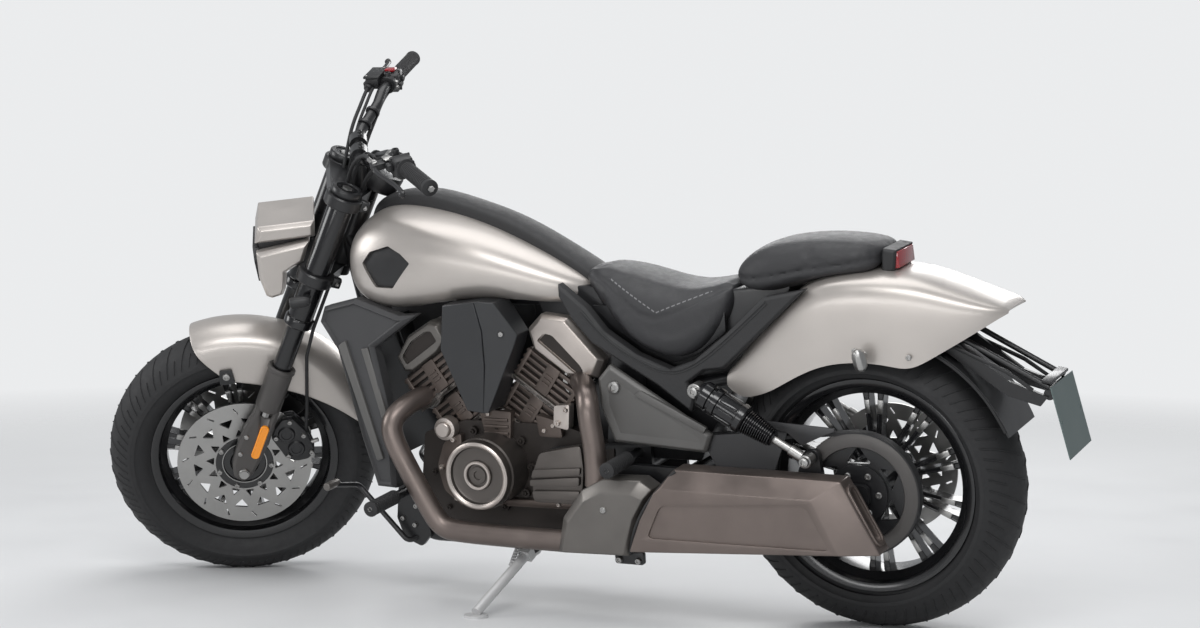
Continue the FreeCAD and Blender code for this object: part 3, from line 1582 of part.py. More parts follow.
def body_ring(x, half, low, high, widest=0.42):
    """A tank-like cross-section: flat below, full at the side and crowned above."""
    rise = high - low
    right = [
        Vector(x, half * 0.6, low),
        Vector(x, half * 0.93, low + rise * 0.16),
        Vector(x, half, low + rise * widest),
        Vector(x, half * 0.84, low + rise * 0.76),
        Vector(x, half * 0.5, low + rise * 0.95),
    ]
    left = [Vector(point.x, -point.y, point.z) for point in reversed(right)]
    return ring([Vector(x, 0, low)] + right + [Vector(x, 0, high)] + left)


def tank():
    """Teardrop tank: along share, half-width share, lower share, upper share."""
    shares = [
        (0.0, 0.3, 0.24, 0.36),
        (0.06, 0.5, 0.1, 0.44),
        (0.25, 0.72, 0.1, 0.66),
        (0.5, 0.9, 0.12, 0.88),
        (0.72, 1.0, 0.03, 0.97),
        (0.88, 0.9, 0.08, 0.88),
        (0.97, 0.62, 0.3, 0.68),
        (1.0, 0.3, 0.4, 0.58),
    ]
    rings = []
    for along, width, low, high in shares:
        x = s.tank_rear_x + along * s.tank_length
        low_z = s.tank_base_z + low * s.tank_height
        high_z = s.tank_base_z + high * s.tank_height
        rings.append(body_ring(x, width * s.tank_half_width, low_z, high_z))
    return loft(rings)


def console():
    """Ridge along the top of the tank, raised above it."""
    outline = [(0.02, 0.38), (0.19, 0.67), (0.34, 0.85), (0.55, 1.0), (0.7, 1.07), (0.8, 1.08), (0.88, 1.0), (0.84, 0.7), (0.5, 0.6), (0.1, 0.3)]
    points = side_points(outline, s.tank_rear_x, s.tank_base_z, s.tank_length, s.tank_height)
    return slab(points, -s.console_half_width, s.console_half_width, s.console_rise)


def rider_seat():
    shares = [
        (0.0, 0.66, 0.72, 0.86),
        (0.1, 0.92, 0.4, 0.88),
        (0.28, 1.0, 0.14, 0.8),
        (0.47, 1.0, 0.1, 0.82),
        (0.69, 0.86, 0.38, 0.94),
        (0.88, 0.66, 0.64, 0.99),
        (1.0, 0.44, 0.78, 0.97),
    ]
    rings = []
    for along, width, low, high in shares:
        x = s.seat_rear_x + along * s.seat_length
        low_z = s.seat_base_z + low * s.seat_height
        high_z = s.seat_base_z + high * s.seat_height
        rings.append(body_ring(x, width * s.seat_half_width, low_z, high_z))
    return loft(rings)


def pillion_seat():
    shares = [
        (0.0, 0.6, 0.66, 0.94),
        (0.08, 0.78, 0.6, 0.99),
        (0.3, 0.97, 0.38, 1.0),
        (0.66, 1.0, 0.14, 0.97),
        (0.88, 0.84, 0.16, 0.84),
        (1.0, 0.6, 0.3, 0.56),
    ]
    rings = []
    for along, width, low, high in shares:
        x = s.pillion_rear_x + along * s.pillion_length
        low_z = s.pillion_base_z + low * s.pillion_height
        high_z = s.pillion_base_z + high * s.pillion_height
        rings.append(body_ring(x, width * s.pillion_half_width, low_z, high_z))
    return loft(rings)


def rear_fender():
    """Arched tail over the rear tyre, open below, drawn out to a tip."""
    shares = [
        (0.03, 0.55, 0.72, 0.78),
        (0.14, 0.86, 0.5, 0.82),
        (0.33, 1.0, 0.31, 0.97),
        (0.52, 1.0, 0.33, 1.0),
        (0.7, 1.0, 0.22, 0.9),
        (0.86, 0.97, 0.06, 0.62),
        (0.97, 0.92, 0.02, 0.3),
    ]

    def skin(inset, drop):
        rings = []
        for along, width, low, high in shares:
            x = s.rear_fender_front_x - (1 - along) * s.rear_fender_length
            half = width * s.rear_fender_half_width - inset
            low_z = s.rear_fender_base_z + low * s.rear_fender_height - drop
            high_z = s.rear_fender_base_z + high * s.rear_fender_height - inset
            rise = high_z - low_z
            right = [
                Vector(x, half, low_z),
                Vector(x, half, low_z + rise * 0.55),
                Vector(x, half * 0.86, low_z + rise * 0.86),
                Vector(x, half * 0.5, low_z + rise * 0.97),
            ]
            left = [Vector(point.x, -point.y, point.z) for point in reversed(right)]
            curve = Part.BSplineCurve()
            curve.interpolate(right + [Vector(x, 0, high_z)] + left)
            rings.append(Part.Wire([curve.toShape(), Part.LineSegment(left[-1], right[0]).toShape()]))
        return loft(rings)

    outer = skin(0, 0)
    return outer, outer.cut(skin(s.rear_fender_wall, s.rear_fender_height / 4))


def seat_step():
    """Room for the pillion seat's nose over the rear of the rider's seat."""
    ahead = s.pillion_rear_x + s.pillion_length + s.seat_gap
    behind = s.seat_rear_x - s.seat_gap
    top = s.pillion_base_z + 2 * s.pillion_height
    points = [
        Vector(behind, 0, s.pillion_base_z + 0.12 * s.pillion_height),
        Vector(ahead, 0, s.pillion_base_z + 0.22 * s.pillion_height),
        Vector(ahead, 0, top),
        Vector(behind, 0, top),
    ]
    return slab(points, -s.seat_half_width, s.seat_half_width)


tank_shape = tank().cut(frame)
console_shape = console().cut(tank_shape).cut(frame)
seat_shape = rider_seat()
pillion_shape = pillion_seat()
fender_solid, fender_shape = rear_fender()
console_shape = max(console_shape.Solids, key=lambda solid: solid.Volume)
covers = intake_cover().cut(tank_shape).cut(Part.makeCompound([front_head, rear_head, front_barrel, rear_barrel]))
feature("intake_covers", covers, "chassis")
feature("fuel_tank", tank_shape, "chassis")
feature("tank_console", console_shape, "chassis")
for neighbour in (tank_shape, console_shape, frame, seat_step(), fender_solid):
    seat_shape = seat_shape.cut(neighbour)
seat_shape = max(seat_shape.Solids, key=lambda solid: solid.Volume)
feature("rider_seat", seat_shape, "chassis")
feature("pillion_seat", pillion_shape.cut(fender_solid), "chassis")
feature("rear_fender", fender_shape.cut(frame), "chassis")


# Exhaust


def seam_points(ahead):
    """The slanting seam between silencer and heat shield, from its top to its foot."""
    shares = [(0.885, 0.734), (0.945, 0.42), (0.977, 0.18), (0.993, 0.01)]
    points = side_points(shares, s.silencer_rear_x, s.silencer_base_z, s.silencer_length, s.silencer_height)
    return [point + Vector(ahead, 0, 0) for point in points]


def silencer():
    """Faceted box with a sunk side panel and a slot-shaped outlet in its slanting rear face."""
    shares = [(0.0, 0.22), (0.027, 0.149)]
    rear = side_points(shares, s.silencer_rear_x, s.silencer_base_z, s.silencer_length, s.silencer_height)
    shares = [(0.802, 1.0), (0.154, 0.968)]
    top = side_points(shares, s.silencer_rear_x, s.silencer_base_z, s.silencer_length, s.silencer_height)
    points = seam_points(0)[::-1] + top + rear
    outer = s.box_inner_place + s.box_thickness
    box = faceted(points, s.box_inner_place, outer, s.silencer_chamfer, 0.2)
    along = rear[0] - top[1]
    length = along.Length
    along.normalize()
    into = Vector(-along.z, 0, along.x)
    start = top[1] + along * (length * 0.16)
    end = top[1] + along * (length * 0.84)
    wall = (s.box_thickness - s.outlet_width) / 2
    mouth = [start - into * wall, end - into * wall, end + into * s.outlet_depth, start + into * s.outlet_depth]
    return box.cut(slab(mouth, s.box_inner_place + wall, outer - wall - s.silencer_chamfer / 3))


def shield():
    """Faceted box ahead of the silencer, over the place where both pipes meet."""
    shares = [(1.0, 0.01), (0.99, 0.15), (0.93, 0.47), (0.72, 0.84), (0.5, 0.99), (0.12, 1.0)]
    points = side_points(shares, s.shield_rear_x, s.shield_base_z, s.shield_length, s.shield_height)
    points += seam_points(s.seam_gap)
    return faceted(points, s.box_inner_place, s.box_inner_place + s.box_thickness * 0.9, s.silencer_chamfer / 2, 0.1)


def exhaust_port(lean, across_share, up_share):
    """Middle of a head's exhaust port, in shares of the barrel's half length and height."""
    across = across_share * s.barrel_half_length
    up = s.barrel_base + up_share * (s.barrel_top - s.barrel_base)
    x = s.crank_x + across * cosine(lean) + up * sine(lean)
    return Vector(x, s.head_half_width * 0.4, s.crank_z - across * sine(lean) + up * cosine(lean))


def headers():
    """One pipe from each head into the heat shield's box."""
    place = s.header_place
    front_port = exhaust_port(s.bank_angle, 0.88, 0.8)
    rear_port = exhaust_port(-s.bank_angle, -0.83, 0.94)
    front_run = [
        front_port,
        Vector(s.header_front_x, place, front_port.z - s.header_radius),
        Vector(s.header_front_x, place, s.header_front_z),
        Vector(s.header_low_x, place, s.header_low_z),
        Vector(s.shield_rear_x + s.shield_length - s.header_radius, place, s.header_low_z),
    ]
    rear_run = [
        rear_port,
        Vector(s.header_rear_x, place, rear_port.z),
        Vector(s.header_rear_x, place, s.crank_z),
    ]
    return [tube(run, s.header_radius, s.header_bend / 2) for run in (front_run, rear_run)]


feature("silencer", silencer(), "chassis")
feature("heat_shield", shield(), "chassis")
engine = Part.makeCompound([front_head, rear_head, front_barrel, rear_barrel, shield(), silencer()])
header_shapes = []
for pipe in headers():
    pipe = pipe.cut(engine)
    header_shapes.append(max(pipe.Solids, key=lambda solid: solid.Volume))
feature("exhaust_headers", Part.makeCompound(header_shapes), "chassis")


def shrouds():
    """Angular panels either side of the radiator, narrowing towards the floor."""
    outline = [
        (1.0, 0.868),
        (0.943, 0.949),
        (0.614, 1.0),
        (0.18, 0.916),
        (0.0, 0.921),
        (0.451, 0.742),
        (0.341, 0.392),
        (0.329, 0.162),
        (0.329, 0.0),
        (0.524, 0.005),
        (0.654, 0.267),
        (0.837, 0.722),
    ]
    points = side_points(outline, s.shroud_rear_x, s.shroud_base_z, s.shroud_length, s.shroud_height)
    return both_sides(slab(points, s.shroud_inner_place, s.shroud_inner_place + s.shroud_thickness))


def radiator():
    depth, high, half = s.radiator_depth, s.radiator_height, s.shroud_inner_place
    core = Part.makeBox(depth, 2 * half, high, Vector(-depth / 2, -half, -high / 2))
    core.rotate(Vector(), Vector(0, 1, 0), s.radiator_lean_angle)
    core.translate(Vector(s.radiator_x, 0, s.radiator_z))
    return core


def seat_trim():
    """Grained V-shaped band under the seats, on each side."""
    outline = [
        (1.0, 1.0),
        (0.888, 0.813),
        (0.816, 0.629),
        (0.684, 0.449),
        (0.55, 0.341),
        (0.452, 0.416),
        (0.314, 0.64),
        (0.161, 0.933),
        (0.0, 1.0),
        (0.329, 0.36),
        (0.409, 0.337),
        (0.479, 0.24),
        (0.455, 0.109),
        (0.471, 0.0),
        (0.602, 0.202),
        (0.87, 0.528),
        (0.948, 0.712),
        (1.0, 0.9),
    ]
    points = side_points(outline, s.trim_rear_x, s.trim_base_z, s.trim_length, s.trim_height)
    return both_sides(slab(points, s.trim_inner_place, s.trim_inner_place + s.trim_thickness))


def side_covers():
    """Faceted covers behind the engine, each on a peg from the pivot plate, with a raised strip."""
    shares = [(0.883, 1.0), (0.996, 0.828), (0.992, 0.511), (0.875, 0.072), (0.05, 0.0), (0.0, 0.222)]
    strip_shares = [(0.62, 0.72), (0.67, 0.66), (0.06, 0.22), (0.03, 0.3)]

    def placed(outline):
        return side_points(
            outline, s.side_cover_rear_x, s.side_cover_base_z, s.side_cover_length, s.side_cover_height
        )

    inner = s.side_cover_inner_place
    outer = inner + s.side_cover_thickness
    cover = faceted(placed(shares), inner, outer, s.side_cover_thickness * 0.4, 0.25)
    strip = slab(placed(strip_shares), outer - s.side_cover_thickness / 2, outer + s.side_cover_thickness * 0.15)
    hold = Vector(s.pivot_x + s.side_peg_radius * 1.5, 0, s.side_cover_base_z + s.side_cover_height * 0.74)
    foot = hold + Vector(0, s.plate_place + s.plate_thickness, 0)
    peg = rod(foot, hold + Vector(0, inner + s.side_cover_thickness / 4, 0), s.side_peg_radius)
    screw = rod(
        hold + Vector(0, outer - s.side_cover_thickness / 2, 0),
        hold + Vector(0, outer + s.side_cover_thickness * 0.1, 0),
        s.side_peg_radius * 1.7,
    )
    return both_sides(fused([cover, strip, peg, screw]))


def arch(centre, radius, half, wall, front_angle, rear_angle):
    """A strip bent about a wheel, its ends given as angles from the top."""
    face = Part.Face(
        Part.makePolygon(
            [
                Vector(0, -half, radius),
                Vector(0, half, radius),
                Vector(0, half, radius + wall),
                Vector(0, -half, radius + wall),
                Vector(0, -half, radius),
            ]
        )
    )
    face.rotate(Vector(), Vector(0, 1, 0), front_angle)
    strip = face.revolve(Vector(), Vector(0, 1, 0), -(front_angle + rear_angle))
    strip.translate(centre)
    return strip


def inner_guard():
    return arch(
        rear_centre,
        s.inner_guard_radius,
        s.inner_guard_half_width,
        s.front_fender_wall,
        s.inner_guard_front_angle,
        s.inner_guard_rear_angle,
    )


def tail_lamp():
    outline = [(0.0, 0.1), (0.06, 1.0), (1.0, 0.9), (1.0, -0.5), (0.2, -0.3)]
    rear = s.tail_lamp_x - s.tail_lamp_length
    points = side_points(outline, rear, s.tail_lamp_z, s.tail_lamp_length, s.tail_lamp_height)
    return slab(points, -s.tail_lamp_half_width, s.tail_lamp_half_width)


def on_plate(ahead, down):
    """A point ahead of the number plate's front face and down it from its top edge."""
    turn = Rotation(Vector(0, 1, 0), s.plate_slope_angle)
    return turn.multVec(Vector(ahead, 0, -down)) + Vector(s.plate_top_x - s.plate_setback, 0, s.plate_top_z)


def plate_carrier():
    """Two arms down and out from under the tail with a slim brace over each, and two cross tubes."""
    root = Vector(s.carrier_root_x, 0, s.carrier_root_z)
    top = Vector(s.plate_top_x, 0, s.plate_top_z)
    thick = s.carrier_thickness
    cross = Vector(s.carrier_cross_x, 0, s.pillion_base_z - thick * 2)
    points = [
        cross + Vector(thick, 0, thick),
        cross + Vector(thick, 0, -thick),
        root + Vector(thick, 0, -thick * 0.4),
        top + Vector(thick * 7, 0, -thick * 2.5),
        top + Vector(thick * 0.4, 0, -thick * 4.3),
        top + Vector(-thick * 1.2, 0, -thick * 2.3),
        top + Vector(thick * 7, 0, thick * 0.7),
        root + Vector(-thick * 2, 0, thick * 1.2),
        root + Vector(thick, 0, thick * 4),
    ]
    inner = s.carrier_half_spacing - thick / 2
    arm_piece = slab(points, inner, inner + thick)
    over = Vector(0, s.carrier_half_spacing, 0)
    tail_radius = thick * 1.2
    tail = on_plate(tail_radius + s.seam_gap, thick * 1.6)
    brace = rod(root + over + Vector(0, 0, thick * 3), tail + over + Vector(0, 0, thick * 1.4), thick * 0.6)
    half = Vector(0, s.subframe_half_spacing, 0)
    bar_piece = rod(cross - half, cross + half, thick)
    half = Vector(0, s.carrier_half_spacing, 0)
    tail_bar = rod(tail - half, tail + half, tail_radius)
    return fused([arm_piece, brace, mirrored(arm_piece), mirrored(brace), bar_piece, tail_bar])


def plate_holes():
    """Middle of each screw hole in the plate, its axis, the sheet's thickness and the radius."""
    turn = Rotation(Vector(0, 1, 0), s.plate_slope_angle)
    holes = []
    for side in (1, -1):
        local = Vector(-s.plate_sheet / 2, side * s.plate_hole_half_spacing, -s.plate_hole_drop)
        place = turn.multVec(local) + on_plate(0, 0)
        holes.append((place, turn.multVec(Vector(-1, 0, 0)), s.plate_sheet, s.plate_hole_radius))
    return holes


def number_plate():
    half, high = s.plate_half_width, s.plate_height
    sheet_piece = Part.makeBox(s.plate_sheet, 2 * half, high, Vector(-s.plate_sheet, -half, -high))
    sheet_piece.rotate(Vector(), Vector(0, 1, 0), s.plate_slope_angle)
    sheet_piece.translate(on_plate(0, 0))
    for place, along, thickness, radius in plate_holes():
        sheet_piece = sheet_piece.cut(rod(place - along * thickness, place + along * thickness, radius))
    return sheet_piece


def rear_indicators():
    root = Vector(-20, s.rear_fender_half_width - s.rear_fender_wall * 3, s.rear_fender_base_z + 108)
    tip = Vector(-20, s.rear_fender_half_width + s.indicator_length, root.z)
    stalk = rod(root, tip, s.indicator_stalk_radius)
    half = Vector(s.indicator_length / 2, 0, 0)
    lamp = rod(tip - half, tip + half, s.indicator_radius)
    return both_sides(fused([stalk, lamp]))


def belt_guard():
    """Cover over the belt's upper run, with a flange down to the swingarm."""
    inner = s.pulley_place - s.belt_width * 0.7
    outer = s.arm_inner_place - s.guard_thickness
    slope = (s.sprocket_z + s.sprocket_radius - s.rear_tyre_radius - s.pulley_radius) / s.sprocket_x
    rear, ahead = s.guard_rear_x, s.guard_rear_x + s.guard_length
    rise = s.rear_tyre_radius + s.pulley_radius + 8
    low_rear, low_ahead = rise + slope * rear, rise + slope * ahead
    top = slab(
        [
            Vector(rear, 0, low_rear),
            Vector(ahead, 0, low_ahead),
            Vector(ahead, 0, low_ahead + s.guard_thickness),
            Vector(rear, 0, low_rear + s.guard_thickness),
        ],
        inner,
        outer,
    )
    flange = slab(
        [
            Vector(rear + 10, 0, low_rear + s.guard_thickness),
            Vector(rear + 60, 0, s.rear_tyre_radius),
            Vector(ahead - 60, 0, s.rear_tyre_radius),
            Vector(ahead, 0, low_ahead + s.guard_thickness),
        ],
        outer - s.guard_thickness,
        outer,
    )
    return fused([top, flange])


def foot_controls():
    """Forward pegs on bolted brackets, with the gear pedal left and the brake pedal right."""
    inner = s.cradle_half_spacing + s.rail_radius
    peg_centre = Vector(s.front_peg_x, 0, s.front_peg_z)
    outline = [
        peg_centre + Vector(24, 0, 12),
        peg_centre + Vector(-22, 0, 12),
        Vector(s.front_peg_x - 52, 0, s.cradle_z + 6),
        Vector(s.front_peg_x - 26, 0, s.cradle_z - 24),
        Vector(s.front_peg_x + 18, 0, s.cradle_z - 6),
        Vector(s.front_peg_x + 34, 0, s.cradle_z + 40),
    ]
    bracket = slab(outline, inner, inner + s.bracket_thickness, s.bracket_thickness)
    start = peg_centre + Vector(0, inner, 0)
    end = peg_centre + Vector(0, s.front_peg_place + s.peg_length, 0)
    waist = peg_centre + Vector(0, s.front_peg_place, 0)
    peg = rod(waist, end, s.peg_radius)
    stub = rod(start, waist, s.peg_radius * 0.7)
    hinge = Vector(s.front_peg_x - 20, inner, s.cradle_z)
    toe = Vector(s.front_peg_x + s.pedal_reach, s.front_peg_place + s.peg_length * 0.5, s.front_peg_z + 34)
    pedal = tube(
        [hinge, hinge + Vector(20, 26, -10), Vector(toe.x - 20, inner + 40, toe.z - 20), toe],
        s.lever_radius,
        s.lever_reach / 3,
    )
    return both_sides(fused([bracket, peg, stub, pedal]))


def passenger_pegs():
    root = Vector(s.rear_peg_x, s.plate_place + s.plate_thickness, s.rear_peg_z)
    waist = Vector(s.rear_peg_x, s.rear_peg_place, s.rear_peg_z)
    end = Vector(s.rear_peg_x, s.rear_peg_place + s.peg_length, s.rear_peg_z)
    return both_sides(fused([rod(root, waist, s.peg_radius * 0.7), rod(waist, end, s.peg_radius)]))


feature("radiator_shrouds", shrouds().cut(tank_shape), "chassis")
feature("radiator", radiator().cut(frame), "chassis")
trim_shape = seat_trim().cut(Part.makeCompound([fender_solid, tank_shape, seat_shape, frame]))
feature("seat_trim", trim_shape, "chassis")
feature("side_covers", side_covers(), "chassis")
feature("inner_mudguard", inner_guard(), "chassis")
feature("tail_lamp", tail_lamp().cut(fender_solid), "chassis")
carrier_shape = plate_carrier().cut(frame)
feature("plate_carrier", carrier_shape, "chassis")
feature("number_plate", number_plate().cut(carrier_shape), "chassis")
feature("rear_indicators", rear_indicators().cut(fender_solid), "chassis")
feature("belt_guard", belt_guard(), "chassis")
feature("foot_controls", foot_controls().cut(frame), "chassis")
feature("passenger_pegs", passenger_pegs(), "chassis")


doc.recompute()
for label, item, group in sub_parts:
    local = item.Placement
    item.Placement = park.multiply(steer).multiply(local) if group in ("steering", "front_wheel") else park.multiply(local)

boxes = FreeCAD.BoundBox()
for label, item, group in sub_parts:
    boxes.add(item.Shape.optimalBoundingBox(True))
shift = Vector(-boxes.Center.x, -boxes.Center.y, 0)
for label, item, group in sub_parts:
    item.Placement = Placement(shift, Rotation()).multiply(item.Placement)

for item in doc.Objects:
    if {"Invalid", "Error"} & set(item.State):
        raise RuntimeError(f"{item.Label} did not rebuild")

os.makedirs("parts", exist_ok=True)
for label, item, group in sub_parts:
    shape = item.Shape
    if shape.isNull() or not shape.isValid() or {"Invalid", "Error"} & set(item.State):
        raise RuntimeError(f"{label} has no sound shape")
    shape.exportStep(f"parts/{label}.step")
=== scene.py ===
import json
import math

import bpy
from mathutils import Matrix, Vector


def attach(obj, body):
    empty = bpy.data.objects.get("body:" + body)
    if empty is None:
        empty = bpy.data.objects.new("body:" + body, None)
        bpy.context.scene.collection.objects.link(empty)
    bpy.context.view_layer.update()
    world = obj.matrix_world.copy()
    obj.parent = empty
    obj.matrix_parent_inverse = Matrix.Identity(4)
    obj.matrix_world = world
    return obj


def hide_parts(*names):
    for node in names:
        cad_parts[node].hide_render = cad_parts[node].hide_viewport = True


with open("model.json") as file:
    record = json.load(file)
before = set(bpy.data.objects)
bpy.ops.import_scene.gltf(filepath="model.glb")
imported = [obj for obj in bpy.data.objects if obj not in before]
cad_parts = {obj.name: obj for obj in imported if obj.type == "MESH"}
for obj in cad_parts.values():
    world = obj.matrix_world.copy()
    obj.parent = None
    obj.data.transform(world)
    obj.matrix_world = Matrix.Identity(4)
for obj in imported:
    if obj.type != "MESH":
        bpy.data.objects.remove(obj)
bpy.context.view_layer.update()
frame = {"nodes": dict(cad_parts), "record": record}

nodes = frame["nodes"]
joints = {joint["name"]: joint for joint in frame["record"]["behaviour"]["joints"]}

# The motorcycle's own frame: x forward from the rear tyre's contact, y left, z up, before it
# leans on its stand. Sizes below are in metres in that frame.

rear_tyre_radius = 0.316
front_tyre_radius = 0.312
wheelbase = 1.57
rake = math.radians(27)
fork_offset = 0.055
steering_stop = math.radians(34)

across = Vector(joints["rear_wheel_spin"]["axis"])
lean = math.acos(across.y)
tip = math.atan2(-across.x, -across.z)
upright = Matrix.Rotation(tip, 4, "Y") @ Matrix.Rotation(-lean, 4, "X")
rear_hub = Vector(joints["rear_wheel_spin"]["pos_m"])
floor_point = rear_hub - (upright @ Vector((0, 0, rear_tyre_radius)))
parked = Matrix.Translation(floor_point) @ upright
steering_up = Vector((-math.sin(rake), 0, math.cos(rake)))
steering_ahead = Vector((math.cos(rake), 0, math.sin(rake)))
front_centre = Vector((wheelbase, 0, front_tyre_radius))
steering_foot = front_centre - steering_ahead * fork_offset
turned = (
    Matrix.Translation(steering_foot)
    @ Matrix.Rotation(steering_stop, 4, steering_up)
    @ Matrix.Translation(-steering_foot)
)
steered = parked @ turned


# Materials


class Value:
    """A node's output that takes part in arithmetic."""

    def __init__(self, finish, socket):
        self.finish = finish
        self.socket = socket

    def _with(self, operation, *others):
        return self.finish.node("ShaderNodeMath", {"operation": operation}, *others)

    def __add__(self, other):
        return self._with("ADD", self, other)

    def __sub__(self, other):
        return self._with("SUBTRACT", self, other)

    def __rsub__(self, other):
        return self._with("SUBTRACT", other, self)

    def __mul__(self, other):
        return self._with("MULTIPLY", self, other)

    def __gt__(self, other):
        return self._with("GREATER_THAN", self, other)

    def __lt__(self, other):
        return self._with("LESS_THAN", self, other)

    def __mod__(self, other):
        return self._with("FLOORED_MODULO", self, other)

    def __abs__(self):
        return self._with("ABSOLUTE", self)

    __radd__ = __add__
    __rmul__ = __mul__


class Finish:
    """One material: Principled shader, with helpers for the nodes that feed it."""

    def __init__(self, name, color, roughness, metallic=0.0, **shader):
        self.material = bpy.data.materials.new(name)
        self.material.use_nodes = True
        self.tree = self.material.node_tree
        self.shader = self.tree.nodes["Principled BSDF"]
        self.shader.inputs["Base Color"].default_value = (*color, 1)
        self.shader.inputs["Roughness"].default_value = roughness
        self.shader.inputs["Metallic"].default_value = metallic
        for socket, value in shader.items():
            self.shader.inputs[socket.replace("_", " ")].default_value = value
        coordinates = self.tree.nodes.new("ShaderNodeTexCoord")
        self.place = Value(self, coordinates.outputs["Object"])

    def node(self, kind, settings, *inputs, output=0, **named):
        made = self.tree.nodes.new(kind)
        for setting, value in settings.items():
            setattr(made, setting, value)
        pairs = list(enumerate(inputs)) + [(key.replace("_", " "), value) for key, value in named.items()]
        for key, value in pairs:
            if value is None:
                continue
            if isinstance(value, Value):
                self.tree.links.new(value.socket, made.inputs[key])
            else:
                made.inputs[key].default_value = value
        return Value(self, made.outputs[output])

    def noise(self, scale, detail=3.0, roughness=0.5, stretch=None):
        where = self.place
        if stretch:
            where = self.node("ShaderNodeMapping", {}, Vector=where, Scale=stretch)
        settings = {"Vector": where, "Scale": scale, "Detail": detail, "Roughness": roughness}
        return self.node("ShaderNodeTexNoise", {}, **settings)

    def pebbles(self, scale):
        return self.node("ShaderNodeTexVoronoi", {"feature": "SMOOTH_F1"}, Vector=self.place, Scale=scale)

    def spread(self, value, low, high, to_low=0.0, to_high=1.0):
        return self.node("ShaderNodeMapRange", {}, value, low, high, to_low, to_high)

    def shade(self, factor, first, second):
        """Mixes two colours. The mix node's colour sockets come after five that aren't used here."""
        colors = [color if isinstance(color, Value) else (*color, 1) for color in (first, second)]
        settings = {"data_type": "RGBA", "blend_type": "MIX"}
        return self.node("ShaderNodeMix", settings, factor, *[None] * 5, *colors, output=2)

    def feed(self, socket, value):
        self.tree.links.new(value.socket, self.shader.inputs[socket])

    def bump(self, height, strength, distance):
        made = self.node("ShaderNodeBump", {}, Height=height, Strength=strength, Distance=distance)
        self.feed("Normal", made)

    def along(self, axis):
        return self.node("ShaderNodeSeparateXYZ", {}, self.place, output="xyz".index(axis))


def tinted(color, factor):
    return tuple(min(1, channel * factor) for channel in color)


def paint(name, color, roughness, metallic, flake, coat):
    """Sprayed metallic: fine flake in tone, a soft cloud in gloss and faint orange peel."""
    made = Finish(name, color, roughness, metallic, Coat_Weight=coat, Coat_Roughness=0.12)
    specks = made.noise(2600, 2.0)
    cloud = made.noise(9, 3.0)
    tone = made.spread(specks + cloud * 0.6, 0.55, 1.05)
    made.feed("Base Color", made.shade(tone, tinted(color, 1 - flake), tinted(color, 1 + flake)))
    made.feed("Roughness", made.spread(cloud, 0.3, 0.7, roughness - 0.04, roughness + 0.05))
    made.bump(made.noise(420, 2.0), 0.05, 0.0004)
    return made


def cast(name, color, roughness, metallic, grain, depth):
    """Coated casting: fine grain, with blotches in tone and gloss."""
    made = Finish(name, color, roughness, metallic)
    fine = made.noise(grain, 3.0, 0.6)
    broad = made.noise(14, 3.0, 0.5)
    tone = made.spread(broad + fine * 0.35, 0.45, 0.95)
    made.feed("Base Color", made.shade(tone, tinted(color, 0.9), tinted(color, 1.1)))
    made.feed("Roughness", made.spread(broad, 0.3, 0.7, roughness - 0.07, roughness + 0.08))
    made.bump(fine, depth, 0.0006)
    return made


def moulded(name, color, roughness, grain, depth):
    """Moulded plastic with a fine pebbled grain and faint scuffing in the gloss."""
    made = Finish(name, color, roughness)
    pebble = made.pebbles(grain)
    scuff = made.noise(60, 5.0, 0.65)
    made.feed("Base Color", made.shade(scuff, tinted(color, 0.85), tinted(color, 1.18)))
    made.feed("Roughness", made.spread(scuff, 0.35, 0.7, roughness - 0.06, roughness + 0.08))
    made.bump(pebble, depth, 0.0005)
    return made


def machined(name, color, roughness):
    """Turned or brushed metal: fine lines drawn out one way."""
    made = Finish(name, color, roughness, 1.0)
    lines = made.noise(900, 2.0, 0.5, stretch=(0.04, 1, 1))
    smear = made.noise(18, 3.0)
    made.feed("Base Color", made.shade(smear, tinted(color, 0.86), tinted(color, 1.1)))
    made.feed("Roughness", made.spread(lines + smear * 0.5, 0.4, 1.1, roughness - 0.06, roughness + 0.1))
    made.bump(lines, 0.08, 0.0003)
    return made


silver = paint("body_silver_paint", (0.5, 0.465, 0.435), 0.36, 0.62, 0.07, 0.25)
panel_grey = paint("panel_grey_paint", (0.055, 0.055, 0.057), 0.48, 0.25, 0.14, 0.0)
side_grey = paint("side_cover_grey", (0.115, 0.112, 0.108), 0.45, 0.35, 0.12, 0.0)
intake_dark = paint("intake_cover_dark", (0.024, 0.025, 0.027), 0.42, 0.15, 0.15, 0.1)
grained = moulded("grained_cover", (0.02, 0.02, 0.021), 0.6, 420, 0.7)
frame_black = paint("frame_black_paint", (0.009, 0.009, 0.01), 0.36, 0.0, 0.2, 0.15)
fork_grey = cast("fork_shoe_grey", (0.085, 0.08, 0.077), 0.42, 0.5, 700, 0.12)
tube_black = paint("fork_tube_black", (0.007, 0.007, 0.008), 0.2, 0.2, 0.2, 0.4)
engine_dark = cast("engine_coating", (0.04, 0.034, 0.031), 0.42, 0.6, 900, 0.3)
barrel_bronze = cast("barrel_bronze_coating", (0.115, 0.093, 0.082), 0.4, 0.7, 900, 0.2)
cover_grey = cast("side_cover_coating", (0.12, 0.108, 0.1), 0.36, 0.8, 1000, 0.12)
head_silver = cast("head_silver_coating", (0.53, 0.48, 0.445), 0.38, 0.85, 1200, 0.15)
bronze = cast("exhaust_bronze_coating", (0.185, 0.153, 0.139), 0.38, 0.8, 1200, 0.06)
shield_grey = cast("heat_shield_coating", (0.16, 0.15, 0.14), 0.42, 0.7, 1100, 0.12)
steel = machined("machined_steel", (0.4, 0.395, 0.385), 0.32)
rim_black = paint("rim_black_paint", (0.01, 0.01, 0.011), 0.22, 0.1, 0.2, 0.5)
